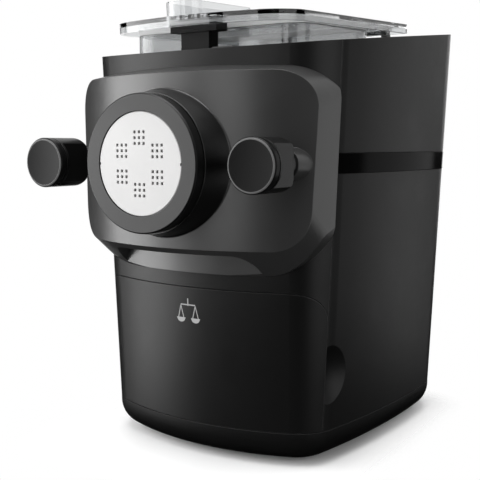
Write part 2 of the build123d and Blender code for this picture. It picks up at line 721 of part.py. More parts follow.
def make_disc():
    back = NUT_LIP + GAP + DISC_T
    face_r = NUT_MOUTH_R - GAP
    rim_r = NUT_BORE_R - 2 * GAP
    disc = turned([
        (0, DISC_SETBACK), (face_r - 0.5, DISC_SETBACK), (face_r, DISC_SETBACK + 0.5),
        (face_r, NUT_LIP + GAP), (rim_r, NUT_LIP + GAP), (rim_r, back), (0, back)])
    pocket = 2 * HOLE_PITCH + HOLE + 2
    for k in range(HOLE_GROUPS):
        angle = math.radians(90 + k * 360 / HOLE_GROUPS)
        x, z = HOLE_GROUP_R * math.cos(angle), AXIS_Z + HOLE_GROUP_R * math.sin(angle)
        disc = disc - box(
            x - pocket / 2, x + pocket / 2, DISC_SETBACK + DISC_SKIN, FAR, z - pocket / 2, z + pocket / 2)
        for i in (-1, 0, 1):
            for j in (-1, 0, 1):
                cx, cz = x + i * HOLE_PITCH, z + j * HOLE_PITCH
                disc = disc - box(cx - HOLE / 2, cx + HOLE / 2, -1, FAR, cz - HOLE / 2, cz + HOLE / 2)
    return disc - both(rod(NOTCH_R, -1, NUT_LIP, face_r))


def make_tube():
    head_r = NUT_BORE_R - GAP
    front = NUT_LIP + GAP + DISC_T + GAP
    shoulder = WEB_FRONT - GAP
    rear = CHAMBER_FRONT - GAP - TUBE_SEAL_T
    return turned([
        (TUBE_BORE_R, front), (head_r, front), (head_r, shoulder), (TUBE_R, shoulder),
        (TUBE_R, rear - TUBE_FLANGE_T), (TUBE_FLANGE_R, rear - TUBE_FLANGE_T),
        (TUBE_FLANGE_R, rear), (TUBE_BORE_R, rear)])


def make_tube_seal():
    rear = CHAMBER_FRONT - GAP
    return pipe(TUBE_FLANGE_R - 1, TUBE_BORE_R + 1, rear - TUBE_SEAL_T, rear)


# Clamping knobs
def make_knob(x):
    front = -KNOB_PROUD + KNOB_CAP_T + KNOB_GROOVE
    grip = rod(KNOB_R, front, KNOB_BACK_DEPTH, x)
    grip = fillet(grip.edges().sort_by(Axis.Y)[-1], KNOB_BACK_R)
    flats = box(x - KNOB_FLAT, x + KNOB_FLAT, front + 2, FAR, 0, FAR)
    grip = (grip & flats) + rod(KNOB_R, front, front + 2, x)
    grip = grip + rod(KNOB_GROOVE_R, front - KNOB_GROOVE + SEAT, front, x)
    grip = grip + rod(KNOB_NECK_R, KNOB_BACK_DEPTH - 1, KNOB_NECK_DEPTH, x)
    grip = grip - rod(STUD_R + FIT, front + 2, FAR, x)
    face = -KNOB_PROUD
    bevel = KNOB_R - KNOB_FACE_R
    cap = turned([
        (0, face), (KNOB_FACE_R, face), (KNOB_R, face + bevel), (KNOB_R, face + KNOB_CAP_T),
        (0, face + KNOB_CAP_T)], x)
    dish_r = KNOB_FACE_R - KNOB_RIM
    ball_r = (dish_r * dish_r + KNOB_DISH * KNOB_DISH) / (2 * KNOB_DISH)
    cap = cap - Pos(x, at(face + KNOB_DISH - ball_r), AXIS_Z) * Sphere(ball_r)
    stud = rod(STUD_R, front + 2 + GAP, STUD_END_DEPTH, x)
    return grip, cap, stud


def make_inserts():
    insert = pipe(INSERT_R, STUD_R + GAP, INSERT_END - INSERT_L, INSERT_END, KNOB_X)
    return group([insert, mirror(insert, Plane.YZ)])


# Drawer
def make_tray():
    shape = CLEAR & box(-TRAY_HALF, TRAY_HALF, 0, TRAY_BACK_DEPTH, TRAY_BOTTOM_Z, TRAY_TOP_Z)
    room = body_block(WALL + GAP + TRAY_T) & box(
        -TRAY_HALF + TRAY_T, TRAY_HALF - TRAY_T, 0, TRAY_BACK_DEPTH - TRAY_T, TRAY_BOTTOM_Z + TRAY_T, FAR)
    return shape - room


def make_runners():
    rib = box(
        RUNNER_X, RUNNER_X + RUNNER_W, SEAM_DEPTH, TRAY_BACK_DEPTH, FLOOR_Z, TRAY_BOTTOM_Z - GAP)
    return group([rib, mirror(rib, Plane.YZ)])


# Mixing chamber: a trough under a square funnel
def chamber_block(inset, d0, d1):
    r = TROUGH_R - inset
    half = CHAMBER_HALF - inset
    shoulder = AXIS_Z + SHOULDER_UP
    side = make_face(Polyline(
        (-r, AXIS_Z), (r, AXIS_Z), (half, shoulder), (half, FAR), (-half, FAR), (-half, shoulder),
        close=True))
    shape = Pos(0, at(d1), 0) * extrude(Plane.XZ * side, d1 - d0) + rod(r, d0, d1)
    plan = Pos(0, at((d0 + d1) / 2)) * RectangleRounded(2 * half, d1 - d0, CHAMBER_CORNER_R - inset)
    return shape & extrude(plan, FAR)


def chamber_plan(grow, z0, z1):
    size = (2 * (CHAMBER_HALF + grow), CHAMBER_REAR - CHAMBER_FRONT + 2 * grow)
    plan = RectangleRounded(*size, CHAMBER_CORNER_R + grow)
    return Pos(0, at((CHAMBER_FRONT + CHAMBER_REAR) / 2), z0) * extrude(plan, z1 - z0)


def make_chamber():
    t = CHAMBER_T
    shape = chamber_block(0, CHAMBER_FRONT, CHAMBER_REAR)
    shape = shape - chamber_block(t, CHAMBER_FRONT + t, CHAMBER_REAR - t)
    shape = shape - rod(TUBE_BORE_R, 0, CHAMBER_FRONT + 2 * t) - rod(SEAL_R, CHAMBER_REAR - 2 * t, FAR)
    return shape - slab(LID_PLANE, -FAR, FAR, -FAR, FAR, -SEAM, FAR)


def make_frame():
    plate = box(-FRAME_HALF, FRAME_HALF, FRAME_FRONT, FRAME_REAR, FRAME_Z - FRAME_T, FRAME_Z)
    plate = plate & CLEAR
    post_foot = FLOOR_Z + SCREW_BOSS + SEAT
    for depth in POST_DEPTHS:
        plate = plate + both(post(POST_R, post_foot, FRAME_Z - FRAME_T / 2, POST_X, depth))
    for depth in SADDLE_DEPTHS:
        rib = box(-SADDLE_HALF, SADDLE_HALF, depth, depth + SADDLE_W, FRAME_Z - 1, AXIS_Z - TROUGH_R / 2)
        plate = plate + (rib - rod(TROUGH_R + GAP, 0, FAR))
    for depth in POST_DEPTHS:
        plate = plate - both(post(SCREW_R + FIT, 0, SCREW_TOP_Z + 2 * SCREW_R, POST_X, depth))
    return plate


def make_base_screws():
    screws = []
    for x in (-POST_X, POST_X):
        for depth in POST_DEPTHS:
            head = post(SCREW_HEAD_R, SCREW_SEAT_Z - SEAT - SCREW_HEAD, SCREW_SEAT_Z - SEAT, x, depth)
            screws.append(head + post(SCREW_R, SCREW_SEAT_Z - SCREW_HEAD, SCREW_TOP_Z, x, depth))
    return group(screws)


# Top deck with its control strip
STRIP_MID = on_deck((STRIP_FRONT + STRIP_REAR) / 2)


def hinge_spot():
    """Height and depth of the lid's hinge axis, in the plane of the lid."""
    return LID_REAR_RUN + HINGE_BACK, LID_T / 2


def make_deck():
    deck = CLEAR & slab(DECK_PLANE, -FAR, FAR, -FAR, FAR, -DECK_T, 0)
    deck = deck - chamber_plan(2 * GAP, 0, FAR)
    for x in BUTTON_XS:
        deck = deck - pin(DECK_PLANE, BUTTON_R + BUTTON_FLANGE + GAP, x, STRIP_MID, -FAR, FAR)
    for x in (-STRIP_HALF + 8, STRIP_HALF - 8):
        deck = deck + pin(DECK_PLANE, STANDOFF_R, x, STRIP_MID, -DECK_T - BOARD_PEG, -DECK_T + 1)
    run, up = hinge_spot()
    for x in (-HINGE_X, HINGE_X):
        for side in (-1, 1):
            inner = HINGE_L / 2 + GAP
            x0, x1 = sorted((x + side * inner, x + side * (inner + HINGE_LUG)))
            lug = slab(LID_PLANE, x0, x1, run - HINGE_R, run + HINGE_R, up - 26, up)
            eye = LID_PLANE * Pos((x0 + x1) / 2, run, up) * Rot(0, 90, 0) * Cylinder(HINGE_R, HINGE_LUG)
            lug = (lug + eye) - slab(DECK_PLANE, -FAR, FAR, -FAR, FAR, -FAR, -DECK_T)
            deck = deck + lug
    bore = HINGE_PIN_R + PRESS
    return deck - LID_PLANE * Pos(0, run, up) * Rot(0, 90, 0) * Cylinder(bore, FAR)


def make_hinge_pins():
    run, up = hinge_spot()
    length = HINGE_L + 2 * GAP + 2 * HINGE_LUG
    return group([
        LID_PLANE * Pos(x, run, up) * Rot(0, 90, 0) * Cylinder(HINGE_PIN_R, length)
        for x in (-HINGE_X, HINGE_X)])


def make_control_strip():
    v0, v1 = on_deck(STRIP_FRONT), on_deck(STRIP_REAR)
    strip = soft_slab(
        DECK_PLANE, -STRIP_HALF, STRIP_HALF, v0, v1, SEAT, STRIP_T, (STRIP_CORNER, STRIP_CORNER))
    window = slab(
        DECK_PLANE, WINDOW_X0, WINDOW_X1, STRIP_MID - WINDOW_W / 2, STRIP_MID + WINDOW_W / 2,
        STRIP_T - WINDOW_T, STRIP_T)
    recess = slab(
        DECK_PLANE, WINDOW_X0 - SEAT, WINDOW_X1 + SEAT, STRIP_MID - WINDOW_W / 2 - SEAT,
        STRIP_MID + WINDOW_W / 2 + SEAT, STRIP_T - WINDOW_T - SEAT, FAR)
    strip = strip - recess
    for x in BUTTON_XS:
        strip = strip - pin(DECK_PLANE, BUTTON_R + GAP, x, STRIP_MID, -FAR, FAR)
    return strip, window


def make_button(x):
    foot = SEAT - GAP - BUTTON_FLANGE_T
    cap = pin(DECK_PLANE, BUTTON_R, x, STRIP_MID, foot, STRIP_T + BUTTON_PROUD)
    cap = fillet(cap.edges().filter_by(GeomType.CIRCLE).sort_by(Axis.Z)[-1], 0.6)
    return cap + pin(DECK_PLANE, BUTTON_R + BUTTON_FLANGE, x, STRIP_MID, foot, foot + BUTTON_FLANGE_T)


def make_display_board():
    top = -DECK_T - BOARD_PEG - SEAT
    half = (STRIP_REAR - STRIP_FRONT) / 2 - 2
    return slab(
        DECK_PLANE, -STRIP_HALF + 3, STRIP_HALF - 3, STRIP_MID - half, STRIP_MID + half, top - BOARD_T, top)


# Lid
def lid_block(inset, w0, w1):
    """Block with the plan of the lid: a bowed front, sides that spread to the rear, rounded corners."""
    front, rear = -LID_FRONT_RUN + inset, LID_REAR_RUN - inset
    near, far = LID_HALF - inset, LID_REAR_HALF - inset
    corner = front + arc_sag(near, LID_BOW_R)
    face = make_face([
        ThreePointArc((-near, corner), (0, front), (near, corner)), Line((near, corner), (far, rear)),
        Line((far, rear), (-far, rear)), Line((-far, rear), (-near, corner))])
    face = fillet(face.vertices().sort_by(Axis.Y)[:2], LID_FRONT_CORNER - inset)
    face = fillet(face.vertices().sort_by(Axis.Y)[-2:], LID_REAR_CORNER - inset)
    return LID_PLANE * Pos(0, 0, w0) * extrude(face, w1 - w0)


def make_lid():
    rear = LID_REAR_RUN
    lid = lid_block(0, 0, LID_T) - lid_block(CHAMBER_T, -1, LID_T - LID_PLATE)
    corners = (COLLAR_CORNER, COLLAR_CORNER)
    collar = soft_slab(
        LID_PLANE, COLLAR_X0, COLLAR_X1, COLLAR_RUN0, COLLAR_RUN1, LID_T - 1, LID_T + COLLAR_H, corners)
    t = COLLAR_T
    inside = soft_slab(
        LID_PLANE, COLLAR_X0 + t, COLLAR_X1 - t, COLLAR_RUN0 + t, COLLAR_RUN1 - t, LID_T, FAR,
        (COLLAR_CORNER - t, COLLAR_CORNER - t))
    lid = lid + (collar - inside)
    slot_pitch = (COLLAR_RUN1 - COLLAR_RUN0) / (INLET_SLOTS + 1)
    for i in range(INLET_SLOTS):
        v = COLLAR_RUN0 + (i + 1) * slot_pitch
        lid = lid - slab(
            LID_PLANE, COLLAR_X0 + 4 * t, COLLAR_X1 - 4 * t, v - INLET_SLOT / 2, v + INLET_SLOT / 2,
            0, LID_T + 1)
    run, up = hinge_spot()
    for x in (-HINGE_X, HINGE_X):
        barrel = LID_PLANE * Pos(x, run, up) * Rot(0, 90, 0) * Cylinder(HINGE_R - 1, HINGE_L)
        arm = slab(LID_PLANE, x - HINGE_L / 2, x + HINGE_L / 2, rear - 1, run, up, up + HINGE_R - 1)
        lid = lid + barrel + arm
    return lid - LID_PLANE * Pos(0, run, up) * Rot(0, 90, 0) * Cylinder(HINGE_PIN_R + RUN, FAR)


def make_lid_seal():
    t = CHAMBER_T
    shape = chamber_plan(0, LID_Z - 40, FAR) - chamber_plan(-t, LID_Z - 60, FAR + 10)
    under = slab(LID_PLANE, -FAR, FAR, -FAR, FAR, -SEAM + GAP, LID_T - LID_PLATE - SEAT)
    return shape & under


def make_latch():
    front, rear = LATCH_FRONT, LATCH_FRONT + LATCH_T
    top = LID_T - LID_PLATE - LATCH_HEADROOM
    block = box(-LATCH_W / 2, LATCH_W / 2, front, rear, 0, FAR)
    flange = box(-LATCH_FLANGE_W / 2, LATCH_FLANGE_W / 2, front - LATCH_LEDGE, rear, 0, FAR)
    flange = flange & slab(LID_PLANE, -FAR, FAR, -FAR, FAR, top - LATCH_FLANGE_T, top)
    block = block & slab(LID_PLANE, -FAR, FAR, -FAR, FAR, -FAR, top)
    block = block & slab(DECK_PLANE, -FAR, FAR, -FAR, FAR, GAP, FAR)
    return block + flange


def make_lid_switch():
    length, depth, height = SWITCH_SIZE
    v = on_deck(LATCH_FRONT + LATCH_T / 2)
    x = LATCH_W / 2 + 2
    return slab(DECK_PLANE, x, x + length, v - depth / 2, v + depth / 2, SEAT, height)


# Gears with straight-sided approximations of involute teeth
def gear_outline(module, teeth, turn):
    pressure = math.radians(GEAR_PRESSURE_DEG)
    pitch_r = module * teeth / 2
    base_r = pitch_r * math.cos(pressure)
    root_r = pitch_r - DEDENDUM * module
    tip_r = pitch_r + ADDENDUM * module

    def half_angle(r):
        lean = math.acos(min(1.0, base_r / max(r, base_r)))
        spread = math.tan(pressure) - pressure - (math.tan(lean) - lean)
        return math.pi / (2 * teeth) - BACKLASH * module / (2 * pitch_r) + spread

    radii = [root_r, max(base_r, root_r + 0.15 * module), pitch_r, (pitch_r + tip_r) / 2, tip_r]
    points = []
    for k in range(teeth):
        middle = math.radians(turn) + 2 * math.pi * k / teeth
        flank = [(r, half_angle(r)) for r in radii]
        for r, half in flank:
            points.append((r * math.cos(middle - half), r * math.sin(middle - half)))
        for r, half in reversed(flank):
            points.append((r * math.cos(middle + half), r * math.sin(middle + half)))
    return points


def gear(module, teeth, turn, d0, width, z):
    """Gear along Y with a tooth at the given angle from straight up."""
    face = make_face(Polyline(*gear_outline(module, teeth, 90 + turn), close=True))
    return Pos(0, at(d0 + width), z) * extrude(Plane.XZ * face, width)


def make_gears():
    half_pitch = 180 / LARGE_TEETH
    output = gear(SECOND_MODULE, LARGE_TEETH, half_pitch, SECOND_GEAR_FRONT, SECOND_GEAR_W, AXIS_Z)
    hub = pipe(2 * SHAFT_R, SHAFT_R + PRESS, SECOND_GEAR_FRONT - 1, SECOND_GEAR_FRONT + SECOND_GEAR_W + 1)
    output = (output - rod(SHAFT_R + PRESS, 0, FAR)) + hub
    idler = gear(FIRST_MODULE, LARGE_TEETH, half_pitch, FIRST_GEAR_FRONT, FIRST_GEAR_W, IDLER_Z)
    collar_end = SECOND_GEAR_FRONT
    idler = idler + rod(0.7 * SECOND_MODULE * SMALL_TEETH / 2, FIRST_GEAR_FRONT, collar_end, 0, IDLER_Z)
    idler = idler + gear(SECOND_MODULE, SMALL_TEETH, 0, SECOND_GEAR_FRONT, SECOND_GEAR_W, IDLER_Z)
    idler = idler - rod(AXLE_R + RUN, 0, FAR, 0, IDLER_Z)
    pinion = gear(FIRST_MODULE, SMALL_TEETH, 0, FIRST_GEAR_FRONT - 1, FIRST_GEAR_W + 2, MOTOR_Z)
    pinion = pinion - rod(MOTOR_SHAFT_R + PRESS, 0, FAR, 0, MOTOR_Z)
    return output, idler, pinion


def screw(seat, tip, x, z):
    """Screw along Y that is driven from the rear, by the depths of its head's seat and of its tip."""
    return rod(SCREW_HEAD_R, seat, seat + SCREW_HEAD, x, z) + rod(SCREW_R, tip, seat + 1, x, z)


def make_gearbox():
    front, rear = GEARBOX_FRONT, GEARBOX_REAR
    top, bottom = GEARBOX_TOP + GEARBOX_WALL, GEARBOX_BOTTOM - GEARBOX_WALL
    half = GEARBOX_HALF
    case = box(-half, half, front, rear, bottom, top)
    case = case - box(
        -half + GEARBOX_WALL, half - GEARBOX_WALL, front + GEARBOX_PLATE, FAR, GEARBOX_BOTTOM, GEARBOX_TOP)
    legs = both(box(half - GEARBOX_LEG, half, front + 2, front + GEARBOX_LEG, FLOOR_Z, bottom + 1))
    case = case + legs
    screw_xs = (-half + GEARBOX_WALL + 4, half - GEARBOX_WALL - 4)
    screw_zs = (GEARBOX_BOTTOM + 4, GEARBOX_TOP - 4)
    cover = box(-half, half, COVER_FRONT, COVER_FRONT + COVER_T, bottom, top)
    screws = []
    for x in screw_xs:
        for z in screw_zs:
            case = case + rod(5, front + 1, rear, x, z)
            case = case - rod(SCREW_R + FIT, rear - SCREW_GRIP - SCREW_R, FAR, x, z)
            cover = cover - rod(SCREW_R + GAP, 0, FAR, x, z)
            screws.append(screw(COVER_FRONT + COVER_T + SEAT, rear - SCREW_GRIP, x, z))
    case = case - rod(BUSH_R + FIT, 0, front + GEARBOX_PLATE + 1)
    cover = cover - rod(BUSH_R + FIT, 0, FAR)
    seat = rod(2 * AXLE_R, front + 1, FIRST_GEAR_FRONT - 2, 0, IDLER_Z)
    case = (case + seat) - rod(AXLE_R + PRESS, front + 2, FIRST_GEAR_FRONT, 0, IDLER_Z)
    cover = cover - rod(AXLE_R + PRESS, 0, COVER_FRONT + 2, 0, IDLER_Z)
    case = case - rod(MOTOR_SHAFT_R + 2, 0, front + GEARBOX_PLATE + 1, 0, MOTOR_Z)
    motor_screws = []
    for k in range(4):
        angle = math.radians(45 + 90 * k)
        x = MOTOR_SCREW_PCD / 2 * math.cos(angle)
        z = MOTOR_Z + MOTOR_SCREW_PCD / 2 * math.sin(angle)
        case = case - rod(SCREW_R + GAP, 0, front + GEARBOX_PLATE + 1, x, z)
        motor_screws.append(screw(front + GEARBOX_PLATE + SEAT, front - MOTOR_CAN_T - 2, x, z))
    return case, cover, group(screws), group(motor_screws)


def make_bushes():
    front = pipe(BUSH_R, SHAFT_R + RUN, GEARBOX_FRONT - 2, GEARBOX_FRONT - 2 + BUSH_L)
    rear_start = COVER_FRONT + COVER_T - BUSH_L
    rear = pipe(BUSH_R, SHAFT_R + RUN, rear_start + 1, rear_start + 1 + BUSH_L)
    return group([front, rear])


def make_drive_shaft():
    round_part = rod(SHAFT_R, SHAFT_ROUND, COVER_FRONT + COVER_T + 1)
    return round_part + hexagon(SHAFT_FLAT, SHAFT_FRONT, SHAFT_ROUND + 1)


def make_shaft_seal():
    rear = CHAMBER_REAR
    seal = pipe(SEAL_R - FIT, SHAFT_R + RUN, rear - CHAMBER_T - 1, rear + 2)
    return seal + pipe(SEAL_R + 3, SHAFT_R + RUN, rear + SEAT, rear + 2)


# Motor
def make_motor():
    rear = GEARBOX_FRONT - SEAT
    can = pipe(MOTOR_R, MOTOR_R - MOTOR_CAN_T, MOTOR_FRONT, rear, 0, MOTOR_Z)
    can = can + pipe(MOTOR_R, MOTOR_SHAFT_R + RUN, rear - MOTOR_CAN_T - 3, rear, 0, MOTOR_Z)
    for k in range(4):
        angle = math.radians(45 + 90 * k)
        x = MOTOR_SCREW_PCD / 2 * math.cos(angle)
        z = MOTOR_Z + MOTOR_SCREW_PCD / 2 * math.sin(angle)
        can = can - rod(SCREW_R + FIT, 0, FAR, x, z)
    cap = pipe(MOTOR_R, MOTOR_SHAFT_R + RUN, MOTOR_FRONT - MOTOR_CAP_T, MOTOR_FRONT - SEAT, 0, MOTOR_Z)
    for k in range(8):
        angle = math.radians(45 * k)
        x, z = 0.62 * MOTOR_R * math.cos(angle), MOTOR_Z + 0.62 * MOTOR_R * math.sin(angle)
        cap = cap - rod(5, 0, FAR, x, z)
    core = MOTOR_FRONT + 8
    stator = pipe(MOTOR_R - MOTOR_CAN_T - FIT, STATOR_BORE_R, core, core + STATOR_L, 0, MOTOR_Z)
    rotor = rod(ROTOR_R, core, core + STATOR_L, 0, MOTOR_Z)
    rotor = rotor + rod(MOTOR_SHAFT_R, FAN_FRONT - 1, FIRST_GEAR_FRONT + FIRST_GEAR_W + 2, 0, MOTOR_Z)
    fan = rod(9, FAN_FRONT, FAN_FRONT + FAN_W, 0, MOTOR_Z)
    blade = Pos(FAN_R / 2, 0, 0) * Rot(35, 0, 0) * Box(FAN_R - 2, 1.6, FAN_W)
    for k in range(FAN_BLADES):
        spin = Pos(0, at(FAN_FRONT + FAN_W / 2), MOTOR_Z) * Rot(0, k * 360 / FAN_BLADES, 0)
        fan = fan + spin * blade
    fan = fan - rod(MOTOR_SHAFT_R + PRESS, 0, FAR, 0, MOTOR_Z)
    return can, cap, stator, rotor, fan


# Auger and stirring paddle
def make_auger():
    bar = Rectangle(2 * AUGER_R, AUGER_BAR) & Circle(AUGER_R)
    length = AUGER_FLIGHT_END - AUGER_FRONT
    twist = Solid.extrude_linear_with_rotation(bar.faces()[0], (0, 0, 0), (0, 0, length), AUGER_TURN_DEG)
    flight = Pos(0, at(AUGER_FLIGHT_END), AXIS_Z) * Rot(90, 0, 0) * twist
    auger = rod(AUGER_CORE_R, AUGER_FRONT, SHAFT_ROUND - 20) + flight
    auger = auger + rod(AUGER_HUB_R, PADDLE_REAR + 1, SHAFT_ROUND)
    return auger - hexagon(SHAFT_FLAT + SEAT, SHAFT_FRONT - GAP, FAR)


def make_paddle():
    paddle = rod(PADDLE_HUB_R, PADDLE_FRONT, PADDLE_REAR)
    for k, angle in enumerate(PADDLE_ANGLES):
        spin = Pos(0, 0, AXIS_Z) * Rot(0, angle, 0)
        span = (PADDLE_REAR - PADDLE_FRONT) / 3
        d0 = PADDLE_FRONT + k * span
        reach = PADDLE_R - PADDLE_ROD_R
        arm = Pos(reach / 2, at(d0 + span / 2), 0) * Rot(0, 90, 0) * Cylinder(PADDLE_ROD_R, reach)
        bar = Pos(reach, at(d0 + span / 2), 0) * Rot(90, 0, 0) * Cylinder(PADDLE_ROD_R, span + 8)
        paddle = paddle + spin * (arm + bar)
    return paddle - rod(AUGER_CORE_R + FIT, 0, FAR)


# Rear fittings and small parts
def make_gland():
    """Square-shouldered gland that slides up into the notch, with a flange outside and one inside."""
    plug = gland_notch(0) & (body_block(-GLAND_FLANGE) - body_block(WALL + GLAND_INNER))
    rim = gland_notch(GLAND_LIP) & (body_block(-GLAND_FLANGE) - body_block(-SEAT))
    inner = gland_notch(GLAND_LIP) & (body_block(WALL + SEAT) - body_block(WALL + GLAND_INNER))
    return (plug + rim + inner) - rod(GLAND_BORE_R, 0, FAR, GLAND_X, GLAND_Z)


def make_rocker():
    floor = WALL + 2 * ROCKER_R
    bezel = rocker_opening(BEZEL - SEAT) & (body_block(-BEZEL_PROUD) - body_block(floor + 2))
    bezel = bezel - (rocker_opening(0) & (body_block(-2 * BEZEL_PROUD) - body_block(floor)))
    pivot = REAR_DEPTH - arc_sag(ROCKER_X, REAR_ARC_R) + (ROCKER_Z - BASE_TOP_Z) * TAPER - ROCKER_PIVOT
    place = Pos(ROCKER_X, at(pivot), ROCKER_Z)
    rocker = Rot(0, 90, 0) * Cylinder(ROCKER_R, ROCKER_W - 2 * GAP)
    rocker = rocker - Pos(0, ROCKER_R - ROCKER_STEP + FAR / 2, FAR / 2) * Box(FAR, FAR, FAR)
    return bezel, place * Rot(ROCKER_DEG, 0, 0) * rocker


def make_feet():
    return group([
        post(FOOT_R, 0, BASE_BOTTOM_Z + FOOT_SINK - SEAT, x, depth)
        for x in (-FOOT_X, FOOT_X) for depth in FOOT_DEPTHS])


def make_load_cells():
    length, width, height = LOAD_CELL
    cells = []
    for x in (-FOOT_X, FOOT_X):
        for depth in FOOT_DEPTHS:
            x0, d0 = x - length / 2, depth - width / 2
            cells.append(box(x0, x0 + length, d0, d0 + width, FLOOR_Z, FLOOR_Z + height))
    return group(cells)


def make_power_parts():
    middle = MOTOR_FRONT + MOTOR_L / 2
    z = FLOOR_Z + STANDOFF + SEAT
    length, width = POWER_BOARD
    board = box(-length / 2, length / 2, middle - width / 2, middle + width / 2, z, z + BOARD_T)
    board = board + box(-24, -4, middle - 12, middle + 12, z + 1, z + 20)
    board = board + post(6, z + 1, z + 18, 10, middle - 6) + post(6, z + 1, z + 18, 10, middle + 10)
    x = POWER_BOARD[0] / 2 + CAPACITOR_R + 6
    front = middle - CAPACITOR_L / 2
    can = rod(CAPACITOR_R, front, front + CAPACITOR_L, x, FLOOR_Z + CAPACITOR_R + SEAT)
    return board, can


def main():
    rear, band, front, drawer_front = make_housings()
    strip, window = make_control_strip()
    output, idler, pinion = make_gears()
    case, cover, gearbox_screws, motor_screws = make_gearbox()
    can, cap, stator, rotor, fan = make_motor()
    board, capacitor = make_power_parts()
    bezel, rocker = make_rocker()
    pieces = {
        "rear_shell": rear, "trim_band": band, "front_housing": front, "drawer_front": drawer_front,
        "base_tray": make_base(), "front_panel": make_panel(), "disc_nut": make_nut(),
        "shaping_disc": make_disc(), "extrusion_tube": make_tube(), "tube_seal": make_tube_seal(),
        "threaded_inserts": make_inserts(), "drawer_tray": make_tray(), "drawer_runners": make_runners(),
        "mixing_chamber": make_chamber(), "inner_frame": make_frame(), "base_screws": make_base_screws(),
        "top_deck": make_deck(), "lid_hinge_pins": make_hinge_pins(), "control_panel": strip,
        "display_window": window, "display_board": make_display_board(), "lid": make_lid(),
        "lid_seal": make_lid_seal(), "lid_latch": make_latch(), "lid_switch": make_lid_switch(),
        "output_gear": output, "idler_gear": idler, "motor_pinion": pinion, "gearbox_housing": case,
        "gearbox_cover": cover, "gearbox_screws": gearbox_screws, "motor_screws": motor_screws,
        "shaft_bushes": make_bushes(), "drive_shaft": make_drive_shaft(), "shaft_seal": make_shaft_seal(),
        "idler_axle": rod(AXLE_R, GEARBOX_FRONT + 2.1, COVER_FRONT + 1.9, 0, IDLER_Z),
        "motor_can": can, "motor_end_cap": cap, "motor_stator": stator, "rotor": rotor, "cooling_fan": fan,
        "auger": make_auger(), "stirring_paddle": make_paddle(), "cord_gland": make_gland(),
        "rubber_feet": make_feet(), "load_cells": make_load_cells(), "power_board": board,
        "run_capacitor": capacitor, "switch_bezel": bezel, "power_switch": rocker,
    }
    for name, x in zip(("program_button", "portion_button", "start_button"), BUTTON_XS):
        pieces[name] = make_button(x)
    for side, x in (("left", -KNOB_X), ("right", KNOB_X)):
        grip, knob_cap, stud = make_knob(x)
        pieces[side + "_knob_grip"] = grip
        pieces[side + "_knob_cap"] = knob_cap
        pieces[side + "_knob_stud"] = stud
    os.makedirs("parts", exist_ok=True)
    for name, shape in pieces.items():
        export_step(shape, "parts/" + name + ".step")


main()
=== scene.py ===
import json
import math

import bmesh
import bpy
from mathutils import Matrix, Vector


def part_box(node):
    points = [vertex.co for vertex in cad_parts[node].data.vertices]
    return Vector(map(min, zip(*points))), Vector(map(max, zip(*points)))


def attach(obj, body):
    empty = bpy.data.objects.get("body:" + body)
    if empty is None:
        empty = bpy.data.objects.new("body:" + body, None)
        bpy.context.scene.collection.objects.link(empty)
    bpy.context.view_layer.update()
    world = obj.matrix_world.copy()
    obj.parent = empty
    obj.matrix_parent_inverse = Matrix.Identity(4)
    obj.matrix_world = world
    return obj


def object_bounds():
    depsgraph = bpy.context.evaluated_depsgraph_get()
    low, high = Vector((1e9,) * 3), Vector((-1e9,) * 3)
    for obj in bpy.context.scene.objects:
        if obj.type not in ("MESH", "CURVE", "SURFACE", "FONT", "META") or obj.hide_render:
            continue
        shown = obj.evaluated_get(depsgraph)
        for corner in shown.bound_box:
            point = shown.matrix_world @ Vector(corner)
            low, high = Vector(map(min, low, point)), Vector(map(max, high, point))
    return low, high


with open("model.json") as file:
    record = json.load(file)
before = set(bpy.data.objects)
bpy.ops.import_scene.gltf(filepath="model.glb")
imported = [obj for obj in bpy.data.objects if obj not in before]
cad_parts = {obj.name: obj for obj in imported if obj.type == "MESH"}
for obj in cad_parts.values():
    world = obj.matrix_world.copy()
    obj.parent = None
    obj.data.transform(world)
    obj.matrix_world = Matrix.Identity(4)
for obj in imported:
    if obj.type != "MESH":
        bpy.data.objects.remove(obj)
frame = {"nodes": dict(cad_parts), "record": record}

# Finishes, printed marks and studio of a countertop pasta machine. Metres, +Z up, the front faces -Y.
SOLID_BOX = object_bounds()
NODES = frame["nodes"]
SLOT_OF = {piece["node"]: piece["material_slot"] for piece in frame["record"]["subparts"]}

# Camera: lens and sensor in millimetres
CAMERA_SPOT = Vector((0.3653, -0.6000, 0.2369))
CAMERA_AZIMUTH = math.radians(32.625)  # from the front, towards +X
CAMERA_PITCH = math.radians(6.486)  # looking down
CAMERA_LENS = 62.69
CAMERA_SENSOR = 36.0

# White room and floor
FILL_LIGHT = 0.45           # level of the room as a light
FLOOR_WHITE = 0.92
FLOOR_ROUGHNESS = 0.90
FLOOR_HALF = (0.092, 0.120)  # the floor is whole inside this block and fades into the room around it
FLOOR_FADE = 0.052
FLOOR_REACH = 0.60          # the clear rest of the floor sheet

# Rings of black card that keep the white room out of the reflections and out of the clear plastic
CARD_BLACK = 0.004
CARD_R = 1.10
CARD_BOTTOM = -0.70
CARD_STEPS = 72
MIRROR_TOP = 1.10
CLEAR_TOP = 0.38
GAP_FOOT = -0.22            # in a gap the card is cut down to this height
MIRROR_GAPS = ((128.0, 157.0), (-150.0, -118.0))  # degrees from the front, towards +X
CLEAR_GAPS = ((150.0, 180.0), (-180.0, -110.0))

